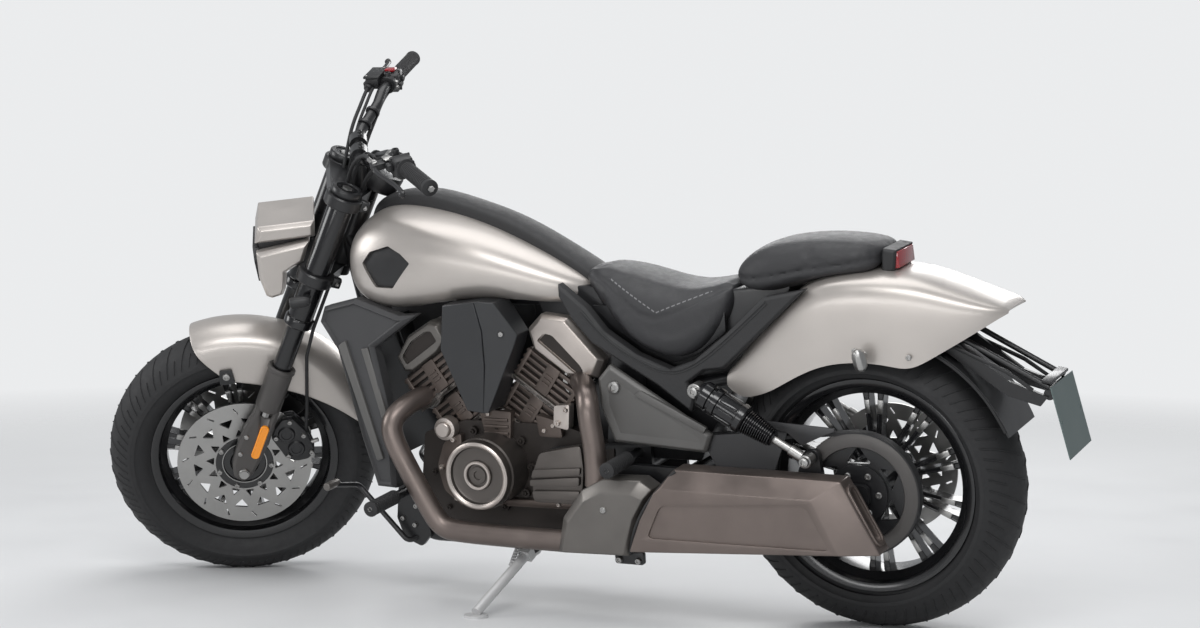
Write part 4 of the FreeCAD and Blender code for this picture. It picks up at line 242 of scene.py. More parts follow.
rubber = moulded("black_rubber", (0.016, 0.016, 0.017), 0.68, 900, 0.3)
switch_black = moulded("switch_black", (0.014, 0.014, 0.015), 0.42, 1400, 0.2)
lamp_red = Finish("lamp_red_lens", (0.3, 0.008, 0.014), 0.16, 0.0, Coat_Weight=0.6)
lamp_clear = Finish("lamp_clear_lens", (0.62, 0.64, 0.67), 0.12, 0.0, Coat_Weight=0.8)
reflector_orange = Finish("reflector_orange_lens", (0.92, 0.3, 0.008), 0.2, 0.0, Coat_Weight=0.5)
plate_grey = paint("plate_blank_sheet", (0.11, 0.15, 0.145), 0.4, 0.35, 0.08, 0.1)
stand_white = paint("stand_pale_coating", (0.56, 0.56, 0.56), 0.42, 0.35, 0.05, 0.0)
tyre_black = moulded("tyre_rubber", (0.014, 0.014, 0.015), 0.68, 700, 0.25)
seat_cover = moulded("seat_leather", (0.024, 0.024, 0.026), 0.55, 520, 0.6)


def stitched(name, color, roughness, seam_foot, slopes, drop):
    """Grained leather with a row of pale stitches beside the seam's V on each side."""
    made = Finish(name, color, roughness)
    pebble = made.pebbles(520)
    scuff = made.noise(60, 5.0, 0.65)
    ahead = made.along("x") - (floor_point.x + seam_foot[0])
    line = abs(ahead) * (slopes[0] + (ahead > 0) * (slopes[1] - slopes[0])) + (seam_foot[1] - drop)
    half_thread, pitch, stitch, bare_middle = 0.0014, 0.011, 0.007, 0.07
    beside = abs(made.along("z") - line) < half_thread
    dash = (made.along("x") % pitch) < stitch
    side = abs(made.along("y")) > bare_middle
    tone = made.shade(scuff, tinted(color, 0.85), tinted(color, 1.18))
    made.feed("Base Color", made.shade(beside * dash * side, tone, (0.16, 0.16, 0.165)))
    made.feed("Roughness", made.spread(scuff, 0.35, 0.7, roughness - 0.06, roughness + 0.08))
    made.bump(pebble + beside * dash * side * 0.6, 0.6, 0.0005)
    return made


leather_black = (0.024, 0.024, 0.026)
seam_foot, seam_slopes, seam_drop = (0.438, 0.67), (0.42, 0.55), 0.012
stitched_cover = stitched("stitched_seat_leather", leather_black, 0.55, seam_foot, seam_slopes, seam_drop)

slots = {
    "body_silver": silver,
    "panel_grey": panel_grey,
    "grained_grey": grained,
    "frame_black": frame_black,
    "fork_grey": fork_grey,
    "tube_black": tube_black,
    "engine_dark": engine_dark,
    "head_silver": head_silver,
    "exhaust_bronze": bronze,
    "shield_grey": shield_grey,
    "steel": steel,
    "rim_black": rim_black,
    "tyre": tyre_black,
    "belt_rubber": rubber,
    "grip_rubber": rubber,
    "seat_leather": seat_cover,
    "lamp_red": lamp_red,
    "lamp_clear": lamp_clear,
    "reflector_orange": reflector_orange,
    "plate_blank": plate_grey,
    "stand_white": stand_white,
}
for part in frame["record"]["subparts"]:
    mesh = nodes[part["node"]].data
    mesh.materials.clear()
    mesh.materials.append(slots[part["material_slot"]].material)

# Modelling: pieces are drawn in millimetres in the motorcycle's own frame

mm = 0.001
chassis, steering, front_wheel, rear_wheel, side_stand = (
    "chassis",
    "steering",
    "front_wheel",
    "rear_wheel",
    "side_stand",
)
places = {chassis: parked, rear_wheel: parked, side_stand: parked, steering: steered, front_wheel: steered}


def only(piece):
    if bpy.context.object and bpy.context.object.mode != "OBJECT":
        bpy.ops.object.mode_set(mode="OBJECT")
    bpy.ops.object.select_all(action="DESELECT")
    piece.select_set(True)
    bpy.context.view_layer.objects.active = piece


def opened(piece):
    """Into edit mode with the whole piece selected."""
    only(piece)
    bpy.ops.object.mode_set(mode="EDIT")
    bpy.ops.mesh.select_all(action="SELECT")


def closed():
    bpy.ops.object.mode_set(mode="OBJECT")


def pick(piece, test):
    """Selects the faces that pass the test, from edit mode."""
    bpy.ops.mesh.select_all(action="DESELECT")
    bpy.ops.object.mode_set(mode="OBJECT")
    for face in piece.data.polygons:
        face.select = bool(test(face))
    bpy.ops.object.mode_set(mode="EDIT")


def modify(piece, kind, **settings):
    only(piece)
    modifier = piece.modifiers.new(kind.lower(), kind)
    for setting, value in settings.items():
        setattr(modifier, setting, value)
    bpy.ops.object.modifier_apply(modifier=modifier.name)
    return piece


def tidy(piece, threshold=1e-6):
    """Merges doubles and turns every face outwards."""
    opened(piece)
    bpy.ops.mesh.remove_doubles(threshold=threshold)
    bpy.ops.mesh.normals_make_consistent(inside=False)
    closed()
    return piece


def smooth(piece, degrees=35):
    only(piece)
    bpy.ops.object.shade_smooth_by_angle(angle=math.radians(degrees))
    return piece


def bevel(piece, width, segments=2, degrees=30):
    return modify(
        piece,
        "BEVEL",
        width=width * mm,
        segments=segments,
        limit_method="ANGLE",
        angle_limit=math.radians(degrees),
        harden_normals=False,
    )


def round_off(piece, levels=2):
    return modify(piece, "SUBSURF", levels=levels, render_levels=levels)


def loop(points, fill="NGON"):
    """A ring of corners, put where the points say, in millimetres."""
    bpy.ops.object.select_all(action="DESELECT")
    bpy.ops.mesh.primitive_circle_add(vertices=len(points), fill_type=fill)
    piece = bpy.context.object
    for vertex, point in zip(piece.data.vertices, points):
        vertex.co = Vector(point) * mm
    return piece


def solid(points, travel, edge=0, corner=0):
    """A flat ring of corners extruded along a vector, in millimetres."""
    piece = loop(points)
    opened(piece)
    if corner:
        bpy.ops.mesh.bevel(offset=corner * mm, segments=3, affect="VERTICES")
        bpy.ops.mesh.select_all(action="SELECT")
    bpy.ops.mesh.extrude_region_move(TRANSFORM_OT_translate={"value": tuple(Vector(travel) * mm)})
    closed()
    tidy(piece)
    if edge:
        bevel(piece, edge)
    return smooth(piece)


def slab(points, inner, outer, edge=0, corner=0):
    """A side-view outline (x, z) given thickness between two distances from the middle plane."""
    return solid([(x, inner, z) for x, z in points], (0, outer - inner, 0), edge, corner)


def faceted(piece, *steps):
    """In each step the faces along a direction are inset and then moved by a depth."""
    opened(piece)
    for direction, thickness, depth in steps:
        pick(piece, lambda face: face.normal.dot(Vector(direction)) > 0.9)
        bpy.ops.mesh.inset(thickness=thickness * mm, depth=depth * mm)
    closed()
    return piece


def cut(piece, cutter):
    modify(piece, "BOOLEAN", operation="DIFFERENCE", object=cutter, solver="EXACT")
    bpy.data.objects.remove(cutter)
    return tidy(piece)


def skin(rows):
    """A sheet whose vertices lie on the rows of points, in millimetres."""
    bpy.ops.object.select_all(action="DESELECT")
    bpy.ops.mesh.primitive_grid_add(x_subdivisions=len(rows[0]) - 1, y_subdivisions=len(rows) - 1)
    piece = bpy.context.object
    points = [point for row in rows for point in row]
    for vertex, point in zip(piece.data.vertices, points):
        vertex.co = Vector(point) * mm
    return piece


def lofted(rings):
    """A closed form through matching rings of corners, in millimetres."""
    piece = skin([[*ring, ring[0]] for ring in rings])
    opened(piece)
    bpy.ops.mesh.remove_doubles(threshold=1e-6)
    bpy.ops.mesh.fill_holes(sides=0)
    closed()
    return tidy(piece)


def mirrored(rows, threshold=1e-6):
    """Rows of half-sections as one sheet over the middle plane."""
    piece = skin(rows)
    modify(piece, "MIRROR", use_axis=(False, True, False), use_clip=True, merge_threshold=1e-5)
    return tidy(piece, threshold)


def thickened(piece, thickness):
    return modify(piece, "SOLIDIFY", thickness=thickness * mm, offset=-1)


def capped(rows, first, last):
    """The rows between two end points, at which the form closes."""
    return [[first] * len(rows[0]), *rows, [last] * len(rows[0])]


def halved(rows, levels):
    """A closed form from rows of half-rings: mirrored over the middle plane and rounded off."""
    return smooth(round_off(mirrored(rows), levels), 60)


def lathe(profile, centre, steps, axis=(0, 1, 0), whole=True):
    """A profile of (radius, along) spun about an axis. It is closed on itself unless it starts there."""
    piece = loop([(radius, along, 0) for radius, along in profile], "NOTHING")
    opened(piece)
    if not whole or profile[0][0] == 0:
        bpy.ops.mesh.select_mode(type="EDGE")
        bpy.ops.mesh.select_all(action="DESELECT")
        closed()
        last = len(profile) - 1
        for edge in piece.data.edges:
            edge.select = set(edge.vertices) == {0, last}
        bpy.ops.object.mode_set(mode="EDIT")
        bpy.ops.mesh.delete(type="EDGE")
        bpy.ops.mesh.select_mode(type="VERT")
        bpy.ops.mesh.select_all(action="SELECT")
    bpy.ops.mesh.spin(steps=steps, angle=2 * math.pi, center=(0, 0, 0), axis=(0, 1, 0))
    closed()
    tidy(piece)
    swing = Vector((0, 1, 0)).rotation_difference(Vector(axis)).to_matrix().to_4x4()
    piece.data.transform(Matrix.Translation(Vector(centre) * mm) @ swing)
    return smooth(piece)


def bar(points, radius, order=3, resolution=6, sides=3):
    """A round bar or hose along a smooth line that starts and ends on the given points."""
    bpy.ops.object.select_all(action="DESELECT")
    data = bpy.data.curves.new("line", "CURVE")
    data.dimensions = "3D"
    spline = data.splines.new("NURBS")
    spline.points.add(len(points) - 1)
    for point, place in zip(spline.points, points):
        point.co = (*(Vector(place) * mm), 1)
    spline.order_u = order
    spline.use_endpoint_u = True
    spline.resolution_u = resolution
    data.bevel_depth = radius * mm
    data.bevel_resolution = sides
    data.use_fill_caps = True
    piece = bpy.data.objects.new("line", data)
    bpy.context.scene.collection.objects.link(piece)
    only(piece)
    bpy.ops.object.convert(target="MESH")
    piece = bpy.context.object
    tidy(piece)
    return smooth(piece)


def joined(pieces):
    only(pieces[0])
    for piece in pieces[1:]:
        piece.select_set(True)
    bpy.ops.object.join()
    return bpy.context.object


def copied(piece, matrix=None):
    twin = piece.copy()
    twin.data = piece.data.copy()
    bpy.context.scene.collection.objects.link(twin)
    if matrix is not None:
        twin.data.transform(matrix)
        if matrix.determinant() < 0:
            twin.data.flip_normals()
    return twin


flip = Matrix.Scale(-1, 4, (0, 1, 0))


def placed(piece, origin, ahead, left=(0, 1, 0)):
    """Moves a piece drawn at the origin so that its x and y axes lie along two directions."""
    x, y = Vector(ahead).normalized(), Vector(left).normalized()
    turn = Matrix((x, y, x.cross(y))).transposed().to_4x4()
    piece.data.transform(Matrix.Translation(Vector(origin) * mm) @ turn)
    return piece


def paired(piece):
    """The piece and its mirror image on the other side, as one."""
    return joined([piece, copied(piece, flip)])


def spaced(x, z, reach, count, first, turn=360):
    """Places (x, z) spaced evenly about a centre, from an angle in degrees."""
    angles = [math.radians(first + turn * number / count) for number in range(count)]
    return [(x + reach * math.cos(angle), z + reach * math.sin(angle)) for angle in angles]


def around(piece, count, centre, axis=(0, 1, 0)):
    """Copies of the piece turned about an axis, as one."""
    middle = Vector(centre) * mm
    ring = [piece]
    for number in range(1, count):
        turn = Matrix.Rotation(2 * math.pi * number / count, 4, Vector(axis))
        ring.append(copied(piece, Matrix.Translation(middle) @ turn @ Matrix.Translation(-middle)))
    return joined(ring)


def finished(piece, name, finish, body=chassis, replaces=()):
    """Names the piece, gives it its finish and puts it where the parked motorcycle has it."""
    only(piece)
    piece.name = name
    piece.data.name = name
    piece.data.transform(places[body])
    piece.data.materials.clear()
    piece.data.materials.append(finish.material)
    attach(piece, body)
    if replaces:
        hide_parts(*replaces)
    return piece


def bolt(centre, radius, height, axis=(0, 1, 0)):
    """A round-headed screw with a socket."""
    profile = [(0, -1), (radius, -1), (radius, height * 0.6), (radius * 0.8, height), (radius * 0.5, height)]
    profile += [(radius * 0.45, height * 0.5), (0, height * 0.5)]
    return lathe(profile, centre, 14, axis)


def bolts(places, radius, height):
    return [bolt(place, radius, height) for place in places]


# Fuel tank


def tank_half(x, low, high, half):
    """Half of a tank cross-section, from the middle below to the middle above."""
    rise = high - low
    shares = [
        (0.0, 0.03), (0.45, 0.0), (0.82, 0.05), (0.985, 0.25), (1.0, 0.47), (0.965, 0.66), (0.83, 0.84),
        (0.56, 0.95), (0.26, 0.99), (0.0, 1.0),
    ]
    return [(x, half * width, low + rise * height) for width, height in shares]


tank_stations = [
    (606, 716, 724, 20), (616, 706, 734, 52), (640, 690, 750, 80), (690, 684, 778, 108),
    (760, 690, 813, 130), (860, 694, 857, 151), (960, 684, 886, 163), (1060, 664, 902, 167),
    (1120, 668, 894, 160), (1163, 688, 870, 143), (1188, 722, 836, 112), (1198, 760, 800, 62),
]
rows = [tank_half(*station) for station in tank_stations]
tank = halved(capped(rows, (604, 0, 720), (1200, 0, 780)), 3)

badge = [(1128, 780), (1106, 806), (1058, 820), (1026, 804), (1003, 783), (1052, 726), (1096, 727)]
cutter = paired(slab(badge, 120, 220, 0, 3))
plate = slab(badge, 120, 220, 0, 3)
modify(plate, "BOOLEAN", operation="INTERSECT", object=tank, solver="EXACT")
opened(tidy(plate))
bpy.ops.transform.translate(value=(0, -7 * mm, 0))
bpy.ops.transform.resize(value=(0.985, 1, 0.985), center_override=(1.062, 0, 0.77))
closed()
modify(tank, "BOOLEAN", operation="DIFFERENCE", object=cutter, solver="EXACT")
bpy.data.objects.remove(cutter)
finished(smooth(tank, 40), "tank_shell", silver, chassis, ["fuel_tank"])
finished(smooth(paired(plate), 40), "tank_side_panels", switch_black)

# Console along the tank's top

console_line = [
    (1166, 872, 30), (1150, 902, 40), (1110, 920, 45), (1060, 926, 47), (1000, 922, 47), (930, 903, 46),
    (840, 876, 46), (760, 840, 46), (690, 800, 48), (630, 764, 50), (600, 742, 50),
]
rows = []
for x, top, half in console_line:
    edge = [(x, half, top - 42), (x, half, top - 14), (x, half * 0.93, top - 4)]
    rows.append([*edge, (x, half * 0.5, top), (x, 0, top + 1)])
console = thickened(round_off(mirrored(rows)), 6)
finished(smooth(console, 40), "console_cover", grained, chassis, ["tank_console"])

# Seats


def padded_form(rows):
    """A closed pad that swells under pressure, held to a short way from its first shape."""
    voxel, frames, swell = 6 * mm, 20, 4 * mm
    piece = halved(rows, 2)
    modify(piece, "REMESH", mode="VOXEL", voxel_size=voxel)
    rest = [vertex.co.copy() for vertex in piece.data.vertices]
    cloth = piece.modifiers.new("cloth", "CLOTH")
    cloth.settings.use_pressure = True
    cloth.settings.uniform_pressure_force = 4
    cloth.settings.effector_weights.gravity = 0
    cloth.settings.tension_stiffness = 40
    cloth.point_cache.frame_end = frames
    for number in range(1, frames + 1):
        bpy.context.scene.frame_set(number)
    only(piece)
    bpy.ops.object.modifier_apply(modifier=cloth.name)
    bpy.context.scene.frame_set(1)
    for vertex, home in zip(piece.data.vertices, rest):
        step = vertex.co - home
        if step.length > swell:
            vertex.co = home + step * (swell / step.length)
    return piece


def channel(piece, points, width, depth):
    """Presses a narrow seam into the pad along a side-view line (x, z)."""
    line = [Vector(point) * mm for point in points]
    normals = [vertex.normal.copy() for vertex in piece.data.vertices]
    width, depth = width * mm, depth * mm
    for vertex, normal in zip(piece.data.vertices, normals):
        place = Vector((vertex.co.x, vertex.co.z))
        nearest = 1.0
        for start, end in zip(line, line[1:]):
            run = end - start
            share = max(0.0, min(1.0, (place - start).dot(run) / run.length_squared))
            nearest = min(nearest, (place - start - run * share).length)
        if nearest < width and abs(normal.y) > 0.25:
            vertex.co -= normal * (depth * (0.5 + 0.5 * math.cos(math.pi * nearest / width)))


def seat_half(x, low, shoulder, top, half):
    """Half of a seat's cross-section: skirt below the seam, crowned pad above it."""
    return [
        (x, 0, low + 8),
        (x, half * 0.55, low + 2),
        (x, half * 0.9, low),
        (x, half, low + (shoulder - low) * 0.4),
        (x, half, shoulder),
        (x, half * 0.94, shoulder + (top - shoulder) * 0.55),
        (x, half * 0.72, shoulder + (top - shoulder) * 0.92),
        (x, half * 0.36, top),
        (x, 0, top + 1),
    ]


rider_stations = [
    (276, 706, 722, 738, 84), (286, 676, 716, 742, 104), (310, 640, 700, 735, 118),
    (345, 602, 684, 727, 130), (385, 583, 669, 722, 138), (425, 588, 656, 726, 141),
    (475, 606, 662, 738, 138), (525, 634, 686, 752, 124), (570, 674, 716, 760, 104),
    (605, 716, 742, 764, 82), (628, 738, 752, 764, 60),
]
rows = [seat_half(*station) for station in rider_stations]
rider = padded_form(capped(rows, (272, 0, 722), (634, 0, 752)))
seam = [(286, 736), (330, 716), (380, 692), (438, 670), (481, 682), (526, 712), (568, 738), (612, 756)]
channel(rider, seam, 8, 5)
channel(rider, [(430, 560), (432, 660)], 5, 1.5)
finished(smooth(rider, 60), "rider_cushion", stitched_cover, chassis, ["rider_seat"])

pillion_stations = [
    (-46, 782, 800, 814, 62), (-30, 770, 796, 822, 84), (10, 764, 792, 828, 98),
    (70, 758, 786, 832, 106), (130, 742, 776, 830, 110), (190, 728, 766, 822, 108),
    (232, 724, 758, 808, 98), (262, 732, 752, 786, 82), (278, 744, 752, 766, 60),
]
rows = [seat_half(*station) for station in pillion_stations]
pillion = padded_form(capped(rows, (-52, 0, 797), (283, 0, 752)))
seam = [(-46, 800), (20, 788), (100, 778), (180, 762), (240, 752), (276, 753)]
channel(pillion, seam, 7, 4.5)
finished(smooth(pillion, 60), "pillion_cushion", seat_cover, chassis, ["pillion_seat"])

# Rear fender

fender_stations = [
    (-308, 690, 697, 62, 694), (-296, 684, 706, 74, 700), (-270, 668, 716, 88, 700),
    (-225, 640, 732, 102, 706), (-175, 611, 750, 113, 716), (-130, 584, 764, 120, 724),
    (-100, 580, 770, 123, 728), (-60, 589, 775, 125, 730), (0, 592, 778, 126, 730),
    (60, 585, 772, 126, 722), (110, 566, 756, 126, 704), (150, 544, 722, 125, 668),
    (190, 521, 680, 124, 632), (225, 510, 640, 122, 598), (255, 505, 606, 120, 574),
    (285, 528, 566, 118, 552),
]
rows = []
for x, low, top, half, shoulder in fender_stations:
    flat = low + (shoulder - low) * 0.5
    rows.append(
        [
            (x, half - 1.5, low),
            (x, half, low + (flat - low) * 0.5),
            (x, half, flat),
            (x, half * 0.985, shoulder),
            (x, half * 0.86, shoulder + (top - shoulder) * 0.62),
            (x, half * 0.55, shoulder + (top - shoulder) * 0.92),
            (x, 0, top),
        ]
    )
fender = thickened(round_off(mirrored(rows)), 5)
finished(smooth(fender, 50), "tail_fender", silver, chassis, ["rear_fender"])

# Exhaust


silencer_edge = [(371, 371), (4, 366), (-76, 217), (479, 186), (470, 218), (452, 263), (418, 322)]
silencer_face = [(396, 334), (62, 330), (6, 217), (472, 193), (462, 219), (444, 264), (410, 322)]
silencer = lofted(
    [
        [(x, 168, z) for x, z in silencer_edge],
        [(x, 225, z) for x, z in silencer_edge],
        [(x, 248, z) for x, z in silencer_face],
    ]
)
bevel(silencer, 3, 3, 15)
cut(silencer, slab([(396, 298), (74, 318), (24, 226), (430, 226)], 243, 260, 0, 12))
end_top, end_foot = Vector((4, 0, 366)), Vector((-76, 0, 217))
end_line = end_foot - end_top
end_middle = (end_top + end_foot) / 2 + Vector((0, 197, 0))
outwards = Vector((end_line.z, 0, -end_line.x)).normalized()


def end_slot(length, width, low, high, corner):
    """A long rounded block standing on the silencer's slanting end face."""
    a, b = length / 2, width / 2
    piece = slab([(-a, -b), (a, -b), (a, b), (-a, b)], low, high, 0, corner)
    return placed(piece, end_middle, end_line, outwards)


cut(silencer, end_slot(122, 30, -32, 20, 13))
rim = end_slot(140, 46, -3, 5, 18)
cut(rim, end_slot(124, 32, -20, 20, 13))
bevel(rim, 1.5, 2)
silencer = joined([bevel(silencer, 1.2, 2, 40), rim])
finished(smooth(silencer, 30), "silencer_box", bronze, chassis, ["silencer"])
# Painted shade: a dark floor in the outlet slot stands in for the shade inside the silencer's outlet
outlet_shade_floor = end_slot(123, 31, -31, -29, 13)
finished(outlet_shade_floor, "outlet_shade_floor", rubber)

shield_edge = [(652, 174), (636, 251), (588, 314), (538, 340), (452, 342), (424, 324), (458, 265), (484, 176)]
shield_face = [(634, 178), (618, 244), (578, 292), (534, 314), (468, 316), (440, 306), (468, 260), (492, 182)]
shield = lofted(
    [
        [(x, 170, z) for x, z in shield_edge],
        [(x, 222, z) for x, z in shield_edge],
        [(x, 239, z) for x, z in shield_face],
    ]
)
bevel(shield, 3, 3, 15)
finished(smooth(shield, 30), "exhaust_shield", shield_grey, chassis, ["heat_shield"])
shield_screws = [bolt((532, 239, 278), 7, 4)]
for x in (512, 468):
    shield_screws.append(bolt((x, 214, 164), 7, 6))
finished(joined(shield_screws), "shield_screws", steel)
shield_lug = slab([(524, 182), (456, 182), (456, 154), (524, 154)], 200, 212, 2, 6)
finished(shield_lug, "shield_lug", frame_black)

seam_strip = bar([(366, 226, 368), (413, 238, 322), (451, 242, 262), (471, 236, 212), (480, 226, 184)], 4)
finished(seam_strip, "exhaust_seam", rubber)

front_pipe = [
    (1004, 52, 478), (1030, 110, 474), (1062, 176, 452), (1068, 190, 410), (1040, 190, 350),
    (975, 190, 230), (950, 190, 194), (900, 190, 190), (640, 196, 190),
]
rear_pipe = [
    (664, 52, 520), (620, 120, 522), (578, 186, 512), (577, 191, 450), (562, 192, 380), (566, 196, 318),
]
pipes = joined([bar(front_pipe, 24, 4, 16, 7), bar(rear_pipe, 24, 4, 16, 7)])
finished(pipes, "exhaust_pipes", bronze, chassis, ["exhaust_headers"])

flanges = []
for place, heading in (((1020, 84, 478), (0.25, 0.96, -0.08)), ((648, 78, 519), (-0.4, 0.9, 0.02))):
    profile = [(25, -8), (36, -8), (38, -5), (38, 3), (36, 6), (27, 6)]
    flanges.append(lathe(profile, place, 24, heading))
    for angle in (60, 180, 300):
        turn = Matrix.Rotation(math.radians(angle), 3, Vector(heading))
        arm = turn @ Vector(heading).cross(Vector((0, 0, 1))).normalized()
        flanges.append(bolt(Vector(place) + arm * 33 + Vector(heading) * 6, 5, 7, heading))
finished(joined(flanges), "header_flanges", steel)

# Side covers


def cover_bolt(place, radius=14):
    """A broad domed screw in a raised ring."""
    profile = [
        (0, -6), (radius, -6), (radius, 1), (radius * 0.86, 4), (radius * 0.5, 5), (radius * 0.42, 2),
        (0, 2),
    ]
    return lathe(profile, place, 24)


cover_outline = [(542, 572), (571, 540), (569, 480), (540, 402), (329, 389), (314, 430)]
cover = slab(cover_outline, 134, 144)
faceted(cover, ((0, 1, 0), 7, 7), ((0, 1, 0), 16, -2.5))
tidy(cover)
bevel(cover, 2.2, 3, 20)
strip = slab([(470, 520), (486, 508), (330, 432), (322, 446)], 143, 154, 3)
cover = joined([cover, strip])
finished(smooth(paired(cover), 30), "side_panels", side_grey, chassis, ["side_covers"])
finished(paired(cover_bolt((532, 151, 524))), "side_panel_screws", steel)

# Shock absorbers

shock_top = Vector((330, 174, 532))
shock_foot = Vector((92, 174, 394))
shock_line = (shock_foot - shock_top).normalized()
body_profile = [(0, 6), (20, 6), (26, 12), (30, 17), (30, 34), (26, 36), (26, 42), (32, 44), (32, 56)]
body_profile += [(28, 58), (28, 104), (32, 106), (32, 118), (29, 121), (26, 123)]
for number in range(13):
    place = 124 + number * 4.9
    swell = 27 - number * 0.55
    body_profile += [(swell - 5, place), (swell, place + 1.6), (swell, place + 2.9), (swell - 5, place + 4.4)]
body_profile += [(18, 190), (14, 194), (0, 194)]
shock_body = lathe(body_profile, shock_top, 32, shock_line)
rib = slab([(-4, 60), (4, 60), (4, 102), (-4, 102)], 26, 31.5, 1.4)
ribs = around(rib, 9, (0, 0, 0), (0, 0, 1))
placed(ribs, shock_top, Vector((0, 1, 0)).cross(shock_line))
shock = paired(joined([shock_body, ribs]))
finished(smooth(shock, 40), "shock_bodies", tube_black, chassis, ["rear_shocks"])
ends = []
for place, reach in ((shock_top, 16), (shock_foot, 14)):
    profile = [(7, -18), (reach - 2, -18), (reach, -16), (reach, 16), (reach - 2, 18), (7, 18)]
    ends.append(lathe(profile, place, 24))
    ends.append(cover_bolt(place + Vector((0, 20, 0)), 11))
rod_end = lathe([(0, 190), (9, 190), (9, 232), (12, 234), (12, 262), (0, 262)], shock_top, 24, shock_line)
ends.append(rod_end)
finished(paired(joined(ends)), "shock_ends", steel)

# Engine

crank_x, crank_z, bank_lean = 852, 322, 35


def bank(points, lean):
    """Turns points (across, along) in a cylinder's own frame into the side view's."""
    sin, cos = math.sin(math.radians(lean)), math.cos(math.radians(lean))
    return [(crank_x + t * cos + h * sin, crank_z - t * sin + h * cos) for t, h in points]


def box_points(low, high, start, end):
    return [(low, start), (high, start), (high, end), (low, end)]


tiers = []
cores = []
tier_edges = []
for lean in (bank_lean, -bank_lean):
    cores.append(slab(bank(box_points(-56, 60, 112, 196), lean), -70, 84, 4))
    cores.append(slab(bank(box_points(-66, 70, 196, 284), lean), -78, 94, 4))
    for low, high, start, outer in ((-64, 68, 119, 92), (-74, 78, 208, 103)):
        for number in range(5):
            place = start + number * 15
            tiers.append(slab(bank(box_points(low, high, place, place + 8), lean), 14 - outer, outer, 2, 4))
        for side in (low + 4, high - 14):
            tier = bank(box_points(side, side + 10, start, start + 70), lean)
            tiers.append(slab(tier, outer - 20, outer + 1, 2))
        tiers.append(slab(bank(box_points(-16, 18, start, start + 70), lean), outer - 20, outer + 2, 2, 4))
        tiers.append(slab(bank(box_points(-16, 18, start, start + 70), lean), 12 - outer, 34 - outer, 2, 4))
        for number in range(3):
            place = start + 22 + number * 10
            tiers.append(slab(bank(box_points(-9, 11, place, place + 5), lean), outer, outer + 5, 1.2))
    tier_edges.append(slab(bank(box_points(-76, 80, 197, 204), lean), -88, 106, 2, 6))
    tier_edges.append(slab(bank(box_points(-60, 64, 108, 115), lean), -74, 94, 2, 6))
finished(joined(tiers), "cylinder_fins", barrel_bronze)
finished(joined(cores), "cylinder_cores", engine_dark, chassis, ["cylinder_barrels"])
finished(joined(tier_edges), "cylinder_fin_edges", head_silver)


def head_cover(outline, lean):
    """A head cover in the cylinder's own frame, drawn in to a share of its outline at each face."""
    rim, face = 98, 111
    middle = sum((Vector(point) for point in outline), Vector((0, 0))) / len(outline)
    rings = []
    for place, share in ((-face, 0.87), (-rim, 1), (rim, 1), (face, 0.87)):
        ring = [middle + (Vector(point) - middle) * share for point in outline]
        rings.append([(x, place, z) for x, z in bank(ring, lean)])
    return bevel(lofted(rings), 2.6, 3, 15)


def head_slot(outline, lean):
    return paired(slab(bank(outline, lean), 102, 130, 0, 5))


rear_cover_outline = [(100, 311), (92, 358), (37, 388), (-84, 362), (-92, 318), (-36, 282), (66, 282)]
rear_slot = [(66, 306), (60, 330), (42, 338), (-46, 322), (-62, 314), (-50, 298)]
rear_cover = head_cover(rear_cover_outline, -bank_lean)
cut(rear_cover, head_slot(rear_slot, -bank_lean))
finished(smooth(rear_cover, 30), "rear_head_cover", head_silver, chassis, ["rear_head"])
rear_floor = [(64, 308), (58, 329), (41, 336), (-46, 320), (-58, 313), (-49, 300)]
slot_floors = [paired(slab(bank(rear_floor, -bank_lean), 100, 104))]
front_cover_outline = [
    (-80, 292), (-84, 330), (-66, 348), (2, 352), (58, 330), (62, 292), (44, 280), (-44, 280),
]
front_slot = [(-56, 300), (-58, 326), (-46, 334), (0, 336), (40, 322), (42, 300)]
front_cover = head_cover(front_cover_outline, bank_lean)
cut(front_cover, head_slot(front_slot, bank_lean))
finished(smooth(front_cover, 30), "front_head_cover", shield_grey, chassis, ["front_head"])
front_floor = [(-54, 302), (-56, 325), (-45, 332), (0, 334), (38, 321), (40, 302)]
slot_floors.append(paired(slab(bank(front_floor, bank_lean), 100, 104)))
finished(joined(slot_floors), "head_slot_floors", engine_dark)

# Intake covers


def slanted(piece, ridge, slope, outer):
    """Slopes a slab's outer face away from a ridge, keeping it flat."""
    for vertex in piece.data.vertices:
        if vertex.co.y > (outer - 3) * mm:
            vertex.co.y -= abs(vertex.co.x - ridge * mm) * slope
    return piece


main_face = [(927, 693), (846, 704), (830, 640), (829, 560), (838, 458), (880, 461), (940, 594)]
rear_face = [(846, 704), (804, 701), (759, 629), (769, 600), (827, 459), (838, 458), (829, 560), (830, 640)]
main_piece = slanted(slab(main_face, 88, 176), 830, 0.1, 176)
rear_piece = slanted(slab(rear_face, 88, 176), 838, 0.42, 176)
inner_line = slab([(826, 678), (800, 668), (776, 632), (780, 624), (802, 658), (828, 668)], 140, 166, 1)
cover = joined([bevel(main_piece, 2.5, 3), bevel(rear_piece, 2, 3), slanted(inner_line, 838, 0.42, 166)])
cover = smooth(paired(cover), 30)
finished(cover, "intake_panels", intake_dark, chassis, ["intake_covers"])
finished(paired(bolt((792, 158, 632), 6, 5, (-0.4, 0.92, 0))), "intake_screws", steel)

# Round covers

